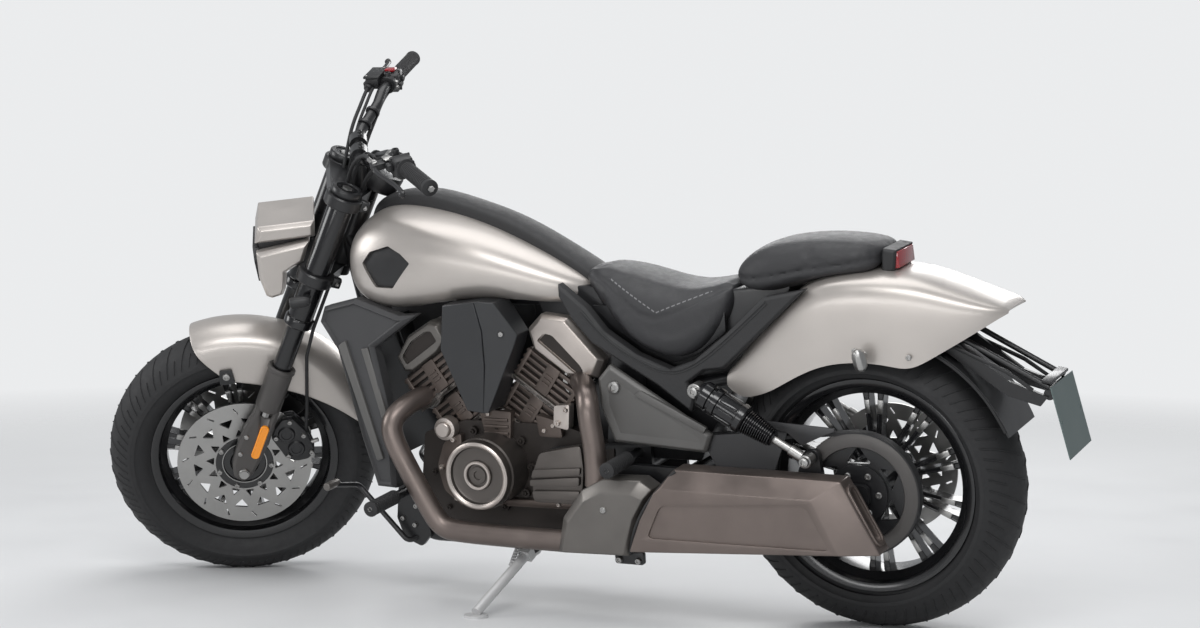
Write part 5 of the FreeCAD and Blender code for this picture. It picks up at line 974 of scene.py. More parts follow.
generator_profile = [
    (0, 186), (9, 186), (10, 189), (19, 189), (20, 187), (24, 187), (25, 192), (27, 194), (31, 194),
    (33, 191), (34, 186), (58, 185), (62, 187), (63, 190), (66, 196), (70, 198), (75, 195), (77, 189),
    (77, 176), (80, 172), (80, 98), (0, 98),
]
generator_place, clutch_place = (855, 0, crank_z), (740, 0, crank_z)
generator = lathe(generator_profile, generator_place, 72)
ring_profile = [(64.5, 194.5), (69, 198.6), (72, 198.4), (75.4, 195.6), (74.5, 191), (66, 191)]
inner_ring_profile = [(25.2, 192), (27, 194.6), (31, 194.6), (32.8, 191.6), (31, 190), (27, 190)]
generator_rings = joined(
    [lathe(ring_profile, generator_place, 72), lathe(inner_ring_profile, generator_place, 48)]
)
clutch_profile = [
    (0, 166), (30, 166), (32, 164), (34, 160), (78, 158), (84, 166), (92, 164), (96, 156), (96, 98),
    (0, 98),
]
clutch = lathe(clutch_profile, clutch_place, 72, (0, -1, 0))
sprocket_outline = [(738, 322), (716, 372), (616, 394), (612, 342), (620, 262), (737, 262)]
sprocket = slab(sprocket_outline, 135, 160, 3, 8)
ledges = [
    slab([(736, 318), (730, 336), (616, 346), (618, 330)], 156, 168, 3, 4),
    slab([(738, 300), (738, 314), (618, 326), (620, 306)], 156, 171, 3, 4),
    slab([(734, 270), (736, 288), (622, 294), (624, 272)], 156, 166, 3, 4),
]
covers = joined([generator, clutch, sprocket, *ledges])
finished(smooth(covers, 30), "engine_side_covers", cover_grey, chassis, ["engine_covers"])
finished(generator_rings, "generator_rings", head_silver)

front_lobe = slab([(930, 396), (976, 372), (996, 318), (982, 262), (936, 226)], 94, 116, 3, 8)
valley = slab([(804, 448), (884, 454), (870, 388), (810, 380)], 84, 112, 3, 4)
valley_ribs = [slab(box_points(812, 872, low, low + 7), 110, 116, 1.5) for low in (396, 411, 426)]
rear_lobe = slab([(684, 432), (742, 446), (736, 398), (680, 396)], 94, 116, 3, 5)
sump_rail = slab([(640, 236), (934, 232), (940, 248), (640, 254)], 94, 112, 3)
case_parts = paired(joined([front_lobe, valley, *valley_ribs, rear_lobe, sump_rail]))
finished(case_parts, "crankcase_lobes", barrel_bronze)
water_profile = [(0, 134), (15, 134), (17, 132), (18, 124), (25, 122), (26, 118), (26, 96), (0, 96)]
port_plate = slab([(654, 474), (692, 470), (696, 424), (660, 416)], 98, 124, 4, 6)
bright_parts = [lathe(water_profile, (968, 0, 404), 40), port_plate]
large_screws = [(664, 124, 462), (684, 124, 432), (950, 116, 380), (984, 116, 316), (950, 116, 246)]
bright_parts += bolts(large_screws, 6, 6)
bright_parts += [bolt((x, -163, z), 5, 5, (0, -1, 0)) for x, z in spaced(740, crank_z, 87, 8, 22)]
small_screws = [
    (700, 116, 424), (722, 116, 412), (822, 112, 386), (860, 112, 442), (700, 112, 245),
    (900, 112, 241),
]
bright_parts += bolts(small_screws, 5, 5)
finished(joined(bright_parts), "engine_fittings", head_silver)

crank_bolts = []
for x, z in spaced(855, crank_z, 92, 9, 18):
    crank_bolts.append(lathe([(0, -4), (10, -4), (10, 8), (0, 8)], (x, 102, z), 16))
    crank_bolts.append(bolt((x, 110, z), 5.5, 5))
sump_screws = [(640, 200), (700, 176), (800, 168), (900, 176), (980, 220), (1010, 300)]
crank_bolts += bolts([(x, 101, z) for x, z in sump_screws], 6, 6)
finished(joined(crank_bolts), "crankcase_screws", engine_dark)

# Wheels

front_x, front_z, rear_z = (round(size / mm) for size in (wheelbase, front_tyre_radius, rear_tyre_radius))
rear_axle_place = (0, 0, rear_z)
front_axle_place = (front_x, 0, front_z)


def tyre(centre, radius, half, drop, neck, sectors):
    """One sector of grooved tread repeated around, between two smooth walls."""
    crown = (half**2 + drop**2) / (2 * drop)
    widest = math.asin(half / crown)
    step = 2 * math.pi / sectors
    columns = [-1, -0.9, -0.74, -0.56, -0.38, -0.2, -0.06, 0.06, 0.2, 0.38, 0.56, 0.74, 0.9, 1]
    rows = [0, 0.24, 0.31, 0.74, 0.81, 1]

    def place(row, column):
        angle = widest * column
        turned = step * (row + 1.1 * abs(column))
        reach = radius - crown + crown * math.cos(angle)
        x, z = reach * math.sin(turned), reach * math.cos(turned)
        return (centre[0] + x, crown * math.sin(angle), centre[2] + z)

    sector = skin([[place(row, column) for column in columns] for row in rows])
    width = len(columns) - 1
    long_left, short_right = range(width + 1, width + 6), range(width + 10, width + 12)
    short_left, long_right = range(3 * width + 1, 3 * width + 3), range(3 * width + 7, 3 * width + 12)
    groove_edge, groove_depth = 0.5 * mm, 2 * mm
    for groove in (long_left, short_right, short_left, long_right):
        opened(sector)
        pick(sector, lambda face: face.index in groove)
        bpy.ops.mesh.inset(thickness=groove_edge, depth=-groove_depth)
        closed()
    tread = tidy(around(sector, sectors, centre))
    shoulder = radius - drop
    neck_radius, neck_place = neck
    profile = [
        (shoulder + 3, half - 1.6), (shoulder - 3, half + 0.6), (shoulder - 9, half + 0.2),
        (shoulder - 11, half - 1.4),
        ((shoulder + neck_radius) / 2 + 6, (half * 0.68 + neck_place * 0.32) + 4),
        ((shoulder + neck_radius) / 2 - 8, (half * 0.42 + neck_place * 0.58) + 4),
        (neck_radius + 6, neck_place + 5), (neck_radius + 4, neck_place + 3),
        (neck_radius - 3, neck_place),
    ]
    wall = lathe(profile, centre, 96, whole=False)
    return smooth(joined([tread, wall, copied(wall, flip)]), 30)


def lean_about(centre, degrees):
    middle = Vector(centre) * mm
    turn = Matrix.Rotation(math.radians(degrees), 4, Vector((0, 1, 0)))
    return Matrix.Translation(middle) @ turn @ Matrix.Translation(-middle)


def wheel(centre, lip, barrel, rim_half, hub_radius, hub_half, pairs):
    """Barrel with lips, hub, and pairs of tapering spokes with bright machined ends."""
    x, z = centre[0], centre[2]
    profile = [
        (lip, rim_half), (lip + 1, rim_half - 3), (lip - 2, rim_half - 6), (barrel, rim_half - 8),
        (barrel - 2, rim_half - 20), (barrel - 16, rim_half - 30), (barrel - 18, 0),
        (barrel - 16, 30 - rim_half), (barrel - 2, 20 - rim_half), (barrel, 8 - rim_half),
        (lip - 2, 6 - rim_half), (lip + 1, 3 - rim_half), (lip, -rim_half), (lip - 5, -rim_half),
        (barrel - 6, 6 - rim_half), (barrel - 9, 20 - rim_half), (barrel - 24, 31 - rim_half),
        (barrel - 26, 0), (barrel - 24, rim_half - 31), (barrel - 9, rim_half - 20),
        (barrel - 6, rim_half - 6), (lip - 5, rim_half),
    ]
    ring = smooth(bevel(lathe(profile, centre, 96), 1, 2), 30)
    hub_profile = [
        (14, hub_half), (hub_radius * 0.5, hub_half), (hub_radius * 0.55, hub_half - 4),
        (hub_radius * 0.8, hub_half - 8), (hub_radius * 0.84, 24), (hub_radius, 18), (hub_radius, -18),
        (hub_radius * 0.84, -24), (hub_radius * 0.8, 8 - hub_half), (hub_radius * 0.55, 4 - hub_half),
        (hub_radius * 0.5, -hub_half), (14, -hub_half),
    ]
    hub = smooth(bevel(lathe(hub_profile, centre, 60), 1.5, 2), 30)
    top = barrel - 20
    spoke_outline = [
        (x - 8, z + hub_radius * 0.8), (x - 5.5, z + hub_radius + 30), (x - 5.5, z + top - 30),
        (x - 8, z + top), (x + 8, z + top), (x + 5.5, z + top - 30), (x + 5.5, z + hub_radius + 30),
        (x + 8, z + hub_radius * 0.8),
    ]
    spoke = slab(spoke_outline, -17, 17)
    faceted(spoke, ((0, 1, 0), 2.2, -3), ((0, -1, 0), 2.2, -3))
    bevel(spoke, 0.8, 2, 20)
    tip_outline = [(x - 5, z + top - 52), (x - 6, z + top - 22), (x + 6, z + top - 22), (x + 5, z + top - 52)]
    tip = joined([slab(tip_outline, 12, 19, 1.2), slab(tip_outline, -19, -12, 1.2)])
    bodies, ends = [], []
    for degrees in (-5, 5):
        bodies.append(copied(spoke, lean_about(centre, degrees)))
        ends.append(copied(tip, lean_about(centre, degrees)))
    bpy.data.objects.remove(spoke)
    bpy.data.objects.remove(tip)
    bodies = around(joined(bodies), pairs, centre)
    ends = around(joined(ends), pairs, centre)
    return joined([ring, hub, bodies]), ends


rear_tyre = tyre(rear_axle_place, rear_z, 90, 62, (228, 60), 38)
finished(rear_tyre, "rear_tyre_tread", tyre_black, rear_wheel, ["rear_tyre"])
front_tyre = tyre(front_axle_place, front_z, 65, 48, (217, 42), 44)
finished(front_tyre, "front_tyre_tread", tyre_black, front_wheel, ["front_tyre"])
rim_body, rim_ends = wheel(rear_axle_place, 228, 216, 66, 62, 97, 10)
finished(rim_body, "rear_wheel_rim", rim_black, rear_wheel, ["rear_rim"])
finished(rim_ends, "rear_spoke_ends", steel, rear_wheel)
rim_body, rim_ends = wheel(front_axle_place, 217, 205, 48, 58, 69, 10)
finished(rim_body, "front_wheel_rim", rim_black, front_wheel, ["front_rim"])
finished(rim_ends, "front_spoke_ends", steel, front_wheel)

disc_bolts = bolts([(x, 75, z) for x, z in spaced(front_x, front_z, 62, 7, 90, -360)], 6.5, 5)
finished(paired(joined(disc_bolts)), "disc_bolts", steel, front_wheel)
carrier_profile = [(34, 70), (48, 70), (50, 74), (58, 76), (66, 76), (68, 73), (60, 70), (34, 66)]
carrier = paired(lathe(carrier_profile, front_axle_place, 60))
finished(carrier, "disc_carriers", rim_black, front_wheel)

pulley_bolts = bolts([(x, 131, z) for x, z in spaced(0, rear_z, 44, 6, 60, -360)], 7, 4)
finished(joined(pulley_bolts), "pulley_bolts", steel, rear_wheel)

# Front fender


def fender_station(degrees, skirt):
    """Half of the front fender's section at an angle ahead of the axle's vertical."""
    crown, half, fall = 339, 77, 54
    depth = crown - skirt
    drops = [min(depth, fall) * share for share in (0, 0.02, 0.09, 0.22, 0.42, 0.68, 1)]
    drops += [drops[-1] + (depth - drops[-1]) * share for share in (0.35, 0.7, 1)]
    angle = math.radians(degrees)
    points = []
    for drop in drops:
        across = half * math.sqrt(max(0, 1 - max(0, 1 - drop / fall) ** 2))
        reach = crown - drop
        points.append((front_x + reach * math.sin(angle), across, front_z + reach * math.cos(angle)))
    return points


stations = [
    (13, 312), (11.5, 284), (8.5, 256), (5, 233), (1, 217), (-5, 209), (-14, 206), (-26, 207),
    (-38, 214), (-50, 228), (-62, 249), (-72, 272), (-80, 295), (-86, 318),
]
fender = round_off(thickened(mirrored([fender_station(*station) for station in stations], 1e-5), 4))
finished(smooth(fender, 50), "front_fender_skin", silver, steering, ["front_fender"])
stay = slab([(1560, 560), (1588, 560), (1592, 524), (1556, 524)], 76, 84, 1.5, 4)
finished(paired(stay), "fender_stays", frame_black, steering)
finished(paired(cover_bolt((1574, 84, 544), 9)), "fender_stay_bolts", steel, steering)

# Front brake calipers


def polar(reach, degrees):
    """A point (x, z) about the front axle."""
    angle = math.radians(degrees)
    return (front_x + reach * math.cos(angle), front_z + reach * math.sin(angle))


turns = [(98, 138), (124, 134), (150, 134), (168, 140), (170, 156), (168, 174)]
turns += [(150, 180), (124, 181), (100, 176), (94, 157)]
outline = [polar(*turn) for turn in turns]
caliper = slab(outline, 79, 98, 2.5, 5)
inner = slab(outline, 52, 66, 2, 5)
bridge = slab([polar(150, 140), polar(169, 142), polar(169, 172), polar(150, 174)], 60, 90, 2)
parts = [caliper, inner, bridge]
for degrees in (147, 166):
    place = polar(130, degrees)
    profile = [(0, 92), (20, 92), (20, 99), (17, 103), (12, 103), (11, 101), (0, 101)]
    parts.append(lathe(profile, (place[0], 0, place[1]), 32))
piece = paired(smooth(joined(parts), 30))
finished(piece, "brake_calipers", frame_black, steering, ["front_calipers"])
fasteners = []
for reach, degrees in ((106, 142), (106, 172), (160, 157), (158, 140), (160, 174)):
    place = polar(reach, degrees)
    fasteners.append(bolt((place[0], 98, place[1]), 6, 6))
nipple, tail = polar(168, 166), polar(184, 166)
fasteners.append(bar([(nipple[0], 92, nipple[1]), (tail[0], 94, tail[1])], 5))
finished(paired(joined(fasteners)), "caliper_bolts", steel, steering)

# Fork

fork_up = Vector((-0.454, 0, 0.891))
fork_ahead = Vector((0.891, 0, 0.454))


def leg(height):
    """A point on the left leg's line, up from the axle."""
    return Vector((front_x, 108, front_z)) + fork_up * height


leg_profile = [(0, 190), (22, 190), (22, 391), (31, 392), (33.5, 395), (33.5, 411), (31, 415), (29, 416)]
leg_profile += [(29, 738), (27, 742), (15, 742), (13, 739), (0, 739)]
legs = paired(lathe(leg_profile, leg(0), 40, fork_up))
finished(legs, "fork_leg_tubes", tube_black, steering, ["fork_tubes"])

shoe_outline = [(-7, -24), (18, -20), (32, 10), (36, 60), (33, 112), (25, 150), (27, 215)]
shoe_outline += [(-29, 215), (-29, 140), (-31, 100), (-26, 40), (-20, 0)]
shoe = slab(shoe_outline, 91, 120, 0, 8)
faceted(shoe, ((0, 1, 0), 7, 6), ((0, -1, 0), 5, 3))
bevel(shoe, 1.6, 2, 25)
cut(shoe, slab([(-14, 152), (12, 152), (14, 192), (-16, 192)], 112, 140, 0, 5))
placed(shoe, front_axle_place, fork_ahead)
cup_profile = [(22.4, 168), (26, 168), (30, 176), (30, 270), (32.5, 272), (32.5, 279)]
cup_profile += [(30, 281), (24, 280), (22.4, 276)]
cup = lathe(cup_profile, leg(0), 40, fork_up)
finished(paired(joined([shoe, cup])), "fork_feet", fork_grey, steering, ["fork_shoes"])


def on_shoe(ahead, up):
    """A point on the shoe's outer face, ahead of the leg's line and up along it."""
    return Vector((front_x, 126, front_z)) + fork_ahead * ahead + fork_up * up


shoe_screws = [*bolts([on_shoe(24, 92), on_shoe(24, 46)], 5.5, 4), cover_bolt(on_shoe(0, 0), 13)]
adjuster = [(0, 152), (6, 152), (8.5, 155), (8.5, 172), (6.5, 174), (6.5, 188), (0, 188)]
shoe_screws.append(lathe(adjuster, (front_x, 121, front_z), 6, fork_up))
finished(paired(joined(shoe_screws)), "fork_screws", steel, steering)
reflector_outline = [(-19, 46), (1, 46), (1, 134), (-19, 134)]
reflector = slab(reflector_outline, 125, 131, 0, 9)
faceted(reflector, ((0, 1, 0), 2.5, 2), ((0, 1, 0), 1.5, -1))
bevel(reflector, 0.6, 2, 25)
placed(reflector, front_axle_place, fork_ahead)
piece = paired(reflector)
finished(piece, "side_reflectors", reflector_orange, steering, ["fork_reflectors"])

clamps = []
clamp_screws = []
clamp_profile = [(29.4, -1), (40, -1), (42.5, 2), (42.5, 24), (40, 27), (29.4, 27)]
for height in (505, 700):
    clamps.append(lathe(clamp_profile, leg(height), 40, fork_up))
    ear = slab([(-60, 2), (-38, 0), (-38, 26), (-60, 24)], -9, 9, 3)
    clamps.append(placed(ear, leg(height), fork_ahead))
    for side in (-1, 1):
        place = leg(height + 13) - fork_ahead * 51 + Vector((0, 9 * side, 0))
        clamp_screws.append(bolt(place, 5, 5, (0, side, 0)))
lip_profile = [(24, 726), (33, 726), (35, 730), (35, 741), (33, 744), (26, 744), (24, 741)]
clamps.append(lathe(lip_profile, leg(0), 40, fork_up))
finished(paired(joined(clamps)), "yoke_clamps", frame_black, steering)
cap_profile = [(0, 744), (12, 744), (13, 742), (13, 738), (0, 738)]
clamp_screws.append(lathe(cap_profile, leg(0), 6, fork_up))
finished(paired(joined(clamp_screws)), "yoke_screws", steel, steering)

# Headlight

cowl_outline = [(1458, 838), (1336, 850), (1357, 802), (1398, 782), (1405, 744), (1414, 728), (1440, 723)]
cowl = slab([*cowl_outline, (1452, 730), (1461, 776)], -81, 81)
faceted(cowl, ((0, 1, 0), 8, 11), ((0, -1, 0), 8, 11))
brow = slab([(1319, 893), (1323, 855), (1459, 857), (1446, 896)], -72, 72)
faceted(brow, ((0, 1, 0), 8, 11), ((0, -1, 0), 8, 11))
hood = joined([bevel(cowl, 2, 3, 20), bevel(brow, 2, 3, 20)])
finished(smooth(hood, 30), "headlight_cowl", silver, steering, ["headlight"])
# Painted shadow: a dark slab filling the gap between cowl and brow, where shadow falls
shadow_gap = slab([(1346, 846), (1450, 836), (1452, 860), (1336, 860)], -64, 64, 2)
finished(shadow_gap, "headlight_shadow_gap", switch_black, steering)


def lens_outline(reach, scale):
    """The lens's outline across the machine, at a distance ahead."""
    half_width, half_height, middle = 78, 46, 799
    shares = [(-1, 0.4), (-0.8, 1), (0.8, 1), (1, 0.4), (0.62, -1), (-0.62, -1)]
    return [(reach, a * half_width * scale, middle + b * half_height * scale) for a, b in shares]


bezel = solid(lens_outline(1450, 1), (16, 0, 0), 0, 6)
faceted(bezel, ((1, 0, 0), 6, 2), ((1, 0, 0), 3, -7))
piece = smooth(bevel(bezel, 1, 2, 25), 30)
finished(piece, "headlight_bezel", switch_black, steering, ["headlight_lens"])
glass = solid(lens_outline(1458, 0.86), (5, 0, 0), 1.5, 5)
unit_profile = [(0, 1464), (22, 1464), (24, 1462), (24, 1460), (0, 1460)]
lights = [lathe(unit_profile, (0, place, 808), 40, (1, 0, 0)) for place in (-33, 33)]
finished(glass, "headlight_glass", tube_black, steering)
finished(joined(lights), "headlight_units", lamp_clear, steering)

small_lamp = [(0, -23), (9, -23), (12, -19), (13, -8), (13, 14), (12, 20), (9, 23), (0, 23)]
stalk_root = leg(479) + Vector((0, 23, 0))
lamp_place = Vector((stalk_root.x + 23, 158, stalk_root.z))
lamp = lathe(small_lamp, lamp_place, 24, (1, 0, 0))
stalk = bar([stalk_root, lamp_place], 6, 2)
piece = paired(joined([lamp, stalk]))
finished(piece, "front_lamps", switch_black, steering, ["front_indicators"])

# Handlebar fittings

bar_end = Vector((1052, 408, 1071))
inward = (Vector((1129.7, 204, 1077)) - bar_end).normalized()
grip_start = bar_end + inward * 125
from_rider = Vector((0, 0, 1)).cross(inward).normalized()


def on_bar(piece, side=1):
    """From the left grip's inner end (x inwards, y ahead, z up) to the handlebar, or mirrored."""
    placed(piece, grip_start, inward, from_rider)
    if side < 0:
        piece.data.transform(flip)
        piece.data.flip_normals()
    return piece


def bar_place(x, y, z, side=1):
    up = inward.cross(from_rider)
    place = grip_start + inward * x + from_rider * y + up * z
    return Vector((place.x, place.y * side, place.z))


grip_profile = [(0, -131), (13, -131), (18, -128), (18, -123)]
for number in range(17):
    start = -120 + number * 6.7
    grip_profile += [(17.4, start), (17.4, start + 4.4), (15.8, start + 5), (15.8, start + 6.2)]
grip_profile += [(18, -5), (22, -4), (22, 0), (12.5, 0), (0, 0)]
grip = on_bar(lathe(grip_profile, (0, 0, 0), 32, (1, 0, 0)))
finished(paired(grip), "grip_sleeves", rubber, steering, ["grips"])
weight_profile = [(0, -136), (6, -136), (7.5, -134), (7.5, -130), (0, -130)]
bar_weight = on_bar(lathe(weight_profile, (0, 0, 0), 6, (1, 0, 0)))
finished(paired(bar_weight), "grip_end_screws", steel, steering)

controls = []
for side in (1, -1):
    block = slab([(1, -19), (24, -24), (44, -18), (44, 16), (26, 23), (1, 20)], -20, 22, 5)
    lower = slab([(6, -27), (30, -29), (38, -20), (4, -20)], -14, 14, 3)
    ridge = slab([(22, 21), (25, 24), (25, -25), (22, -22)], -21.5, 23.5, 0.8)
    clip = lathe([(12.3, 45), (19, 45), (21, 48), (21, 61), (19, 64), (12.3, 64)], (0, 0, 0), 28, (1, 0, 0))
    lug = slab([(42, -8), (64, -8), (66, 8), (40, 8)], 12, 58, 3)
    horn = slab([(16, -8), (36, -8), (36, 10), (16, 10)], 20, 34, 4)
    boss = lathe([(4.3, 12), (8.5, 12), (8.5, 26), (7.5, 28), (4.3, 28)], (51, 0, 0), 20, (0, 0, 1))
    rocker = slab([(8, -6), (20, -6), (20, 8), (8, 8)], -25, -18, 2)
    button = lathe([(0, -26), (5, -26), (6, -24), (6, -18), (0, -18)], (32, 0, -8), 16)
    controls += [on_bar(item, side) for item in (block, lower, ridge, clip, lug, horn, boss, rocker, button)]
tank_box = slab([(16, -4), (80, -4), (80, 22), (16, 22)], 14, 46, 4)
tank_lid = slab([(13, 22), (83, 22), (83, 28), (13, 28)], 11, 49, 2)
cylinder = lathe([(0, 14), (8, 14), (10, 18), (10, 88), (7, 92), (0, 92)], (0, 38, 2), 20, (1, 0, 0))
controls += [on_bar(item, -1) for item in (tank_box, tank_lid, cylinder)]
finished(smooth(joined(controls), 30), "switch_blocks", switch_black, steering, ["switchgear"])
stop_switch = slab([(8, 19), (34, 22), (34, 29), (10, 27)], -10, 14, 2.5)
finished(on_bar(stop_switch, -1), "stop_switch", lamp_red, steering)
levers = []
lever_line = [(52, 50, 0), (30, 60, -1), (-6, 56, -2), (-60, 50, -3), (-104, 53, -3), (-112, 58, -3)]
knob_profile = [(0, -8), (5, -7), (7.5, -3), (7.5, 3), (5, 7), (0, 8)]
for side in (1, -1):
    grip_lever = bar(lever_line, 5.4, 4, 10)
    knob = lathe(knob_profile, lever_line[-1], 16, (1, 0, 0))
    levers += [on_bar(grip_lever, side), on_bar(knob, side)]
finished(joined(levers), "hand_levers", frame_black, steering)
bright = []
for side in (1, -1):
    pivot = lathe([(0, -11), (6, -11), (6, 11), (3, 12), (0, 12)], (52, 50, 0), 16, (0, 0, 1))
    pinch = bolt((54, -20, 6), 4, 5, (0, -1, 0))
    pinch_low = bolt((54, -20, -6), 4, 5, (0, -1, 0))
    bright += [on_bar(item, side) for item in (pivot, pinch, pinch_low)]
adjuster_profile = [(0, 62), (6, 62), (8, 66), (8, 74), (6, 76), (5, 96), (0, 96)]
adjuster = lathe(adjuster_profile, (0, 46, 0), 16, (1, 0, 0))
collar = lathe([(12.2, 66), (17, 67), (18, 72), (17, 80), (12.2, 82)], (0, 0, 0), 28, (1, 0, 0))
shell = slab([(40, 10), (66, 10), (62, 16), (44, 16)], -14, 30, 3)
bright += [on_bar(item) for item in (adjuster, collar, shell)]
for x, y in ((20, 18), (76, 42)):
    bright.append(on_bar(bolt((x, y, 28), 3, 2, (0, 0, 1)), -1))
finished(joined(bright), "control_fittings", steel, steering)


hoses = []
for step, radius in ((0, 4.2), (13, 3.6)):
    run = [bar_place(90, 38 - step, 2, -1), bar_place(120, 34 - step, 2, -1), (1184 - step, -150, 1066)]
    run += [(1214 - step, -96, 1034), (1232 - step, -58, 980), (1262 - step, -40, 900)]
    hoses.append(bar(run, radius, 4, 8))
    run = [bar_place(94, 46 - step, 0), bar_place(122, 40 - step, -2), (1186 - step, 138, 1060)]
    run += [(1218 - step, 82, 1020), (1236 - step, 56, 960), (1256 - step, 70, 880)]
    hoses.append(bar(run, radius, 4, 8))
for side in (1, -1):
    run = [bar_place(40, 2, -18, side), bar_place(90, 4, -20, side), (1152, 150 * side, 1034)]
    run += [(1190, 90 * side, 990), (1206, 66 * side, 940), (1226, 40 * side, 890)]
    hoses.append(bar(run, 5, 4, 8))
finished(joined(hoses), "control_hoses", rubber, steering)
ties = []
for side in (1, -1):
    for share in (0.35, 0.75):
        place = Vector((1198 - 52.6 * share, side * (80 + 83 * share), 1022 + 36.8 * share))
        heading = Vector((-52.6, side * 83, 36.8))
        ties.append(lathe([(12.2, -4), (16, -4), (17, 0), (16, 4), (12.2, 4)], place, 24, heading))
for side in (1, -1):
    for height in (-10, 10):
        ties.append(bolt((1192, side * 37 + height, 1042), 5, 4, (0, 0, 1)))
finished(joined(ties), "bar_ties", frame_black, steering)

clock_place, clock_facing = (1150, 0, 962), Vector((-0.574, 0, 0.819))
clock_profile = [(40, -41), (47, -38), (50.5, -24), (50.5, -2), (48, 3), (44, 3), (42, -2), (42, -8)]
clock = lathe(clock_profile, clock_place, 56, clock_facing)
finished(clock, "clock_case", switch_black, steering)
glass_profile = [(0, 1.2), (24, 0.8), (42.5, -0.6), (42.5, -3), (0, -3)]
clock_glass = lathe(glass_profile, clock_place, 48, clock_facing)
finished(clock_glass, "clock_glass", tube_black, steering)
ring_profile = [(44.2, 2), (46, 3.8), (48, 3.4), (48.4, 1.6), (46, 0.4)]
clock_ring = lathe(ring_profile, clock_place, 56, clock_facing)
finished(clock_ring, "clock_ring", steel, steering)

# Radiator and its side panels

shroud_shares = [
    (1, 0.868), (0.943, 0.949), (0.614, 0.995), (0.18, 0.912), (0.0, 0.917), (0.451, 0.742),
    (0.341, 0.392), (0.329, 0.162), (0.329, 0.0), (0.524, 0.005), (0.654, 0.267), (0.837, 0.722),
]
shroud = slab([(1002 + a * 246, 271 + b * 431) for a, b in shroud_shares], 124, 152)
faceted(shroud, ((0, 1, 0), 9, 10), ((0, 1, 0), 7, 0), ((0, 1, 0), 4, -6))
bevel(shroud, 1.4, 2, 20)
rib = slab([(1182, 606), (1202, 594), (1124, 334), (1106, 338)], 150, 163, 3)
brace = slab([(1126, 592), (1144, 588), (1104, 430), (1089, 440)], 148, 162, 3)
finished(paired(joined([rib, brace])), "shroud_ribs", side_grey)
piece = paired(smooth(shroud, 30))
finished(piece, "radiator_sides", panel_grey, chassis, ["radiator_shrouds"])

slat = solid([(19, -118, -146), (21, -118, -146), (21, 118, -146), (19, 118, -146)], (0, 0, 2))
slat_count, slat_pitch, radiator_tilt = 40, 7.4, math.radians(15)
rises = [Matrix.Translation((0, 0, number * slat_pitch * mm)) for number in range(slat_count)]
slats = joined([copied(slat, rise) for rise in rises])
bpy.data.objects.remove(slat)
slats.data.transform(Matrix.Translation(Vector((1158, 0, 470)) * mm) @ Matrix.Rotation(radiator_tilt, 4, "Y"))
finished(slats, "radiator_slats", frame_black)

# Band under the seats

band_top = [(597, 690), (557, 641), (483, 593), (408, 564), (353, 584), (276, 644), (190, 722)]
band = [(660, 740), *band_top, (100, 740), (284, 569), (329, 563), (368, 537), (355, 502), (364, 473)]
band += [(437, 527), (587, 614), (631, 663), (660, 713)]
band_piece = slab(band, 106, 131)
faceted(band_piece, ((0, 1, 0), 5, 6))
bevel(band_piece, 1.5, 2, 25)


def shifted(points, distance):
    """A side-view line moved down and outwards from itself."""
    moved = []
    for number, point in enumerate(points):
        before, after = Vector(points[max(0, number - 1)]), Vector(points[min(len(points) - 1, number + 1)])
        run = (after - before).normalized()
        moved.append((point[0] - run.y * distance, point[1] + run.x * distance))
    return moved


beads = []
for drop, radius in ((9, 2), (15, 1.4)):
    beads.append(bar([(x, 137, z) for x, z in shifted(band_top, drop)], radius, 3, 8, 2))
band_piece = smooth(joined([band_piece, *beads]), 40)
finished(paired(band_piece), "seat_band", grained, chassis, ["seat_trim"])

# Painted shade: dark blocks seen between seat, frame and engine, filling the gaps where shade falls

gap_shade_outline = [(352, 400), (370, 352), (690, 352), (700, 600), (740, 690), (690, 728), (600, 726)]
gap_shade_outline += [(560, 690), (340, 720), (200, 738), (150, 738), (170, 690), (262, 560)]
gap_shade_block = slab(gap_shade_outline, -76, 76, 4)
under_seat_shade_outline = [(596, 690), (556, 650), (484, 600), (408, 572), (354, 592), (290, 640), (290, 700), (440, 690)]
under_seat_shade = slab(under_seat_shade_outline, 92, 102, 2)
# Painted shade: these dark blocks stand in for the shade in the gaps under the seat and around the engine
finished(joined([gap_shade_block, paired(under_seat_shade)]), "gap_shade_block", frame_black)

# Tail

lamp_case = slab([(-70, 770), (-74, 812), (-46, 816), (-42, 800), (-42, 762)], -54, 54)
faceted(lamp_case, ((0, 1, 0), 4, 5), ((0, -1, 0), 4, 5))
finished(bevel(lamp_case, 1.5, 2), "tail_lamp_case", grained)
lens_shape = slab([(-79, 775), (-76, 808), (-58, 811), (-56, 772)], -50, 50, 2)
finished(lens_shape, "tail_lens", lamp_red, chassis, ["tail_lamp"])

signal_root, signal_place = Vector((-20, 120, 608)), Vector((-24, 158, 604))
stalk_profile = [(0, -4), (11, -4), (11, 2), (7, 6), (6, 30), (8, 40), (0, 40)]
signal_heading = (signal_place - signal_root).normalized()
signals = [lathe(stalk_profile, signal_root, 20, signal_heading)]
shell_profile = [(0, -24), (7, -23), (12, -17), (13.5, -6), (13.5, 8), (12, 17), (7, 23), (0, 24)]
shell = lathe(shell_profile, signal_place, 8, (0.18, 0.1, 1))
faceted(shell, ((-1, 0, 0), 1.5, 1.5), ((1, 0, 0), 1.5, 1.5))
bevel(shell, 1, 2, 20)
signals += [shell, *bolts([(-2, 126, 616), (-117, 126, 606)], 6, 3)]
piece = paired(smooth(joined(signals), 25))
finished(piece, "rear_signals", steel, chassis, ["rear_indicators"])

guard_edge = []
guard_reach, guard_start, guard_sweep = 332, -66, 112
for side in (1, -1):
    angles = [math.radians(guard_start + guard_sweep * number / 14) for number in range(15)]
    points = [(guard_reach * math.sin(turn), guard_reach * math.cos(turn)) for turn in angles]
    guard_edge.append(bar([(x, 92 * side, rear_z + z) for x, z in points], 3.4, 3, 6, 2))
finished(joined(guard_edge), "mudguard_edge", rubber)

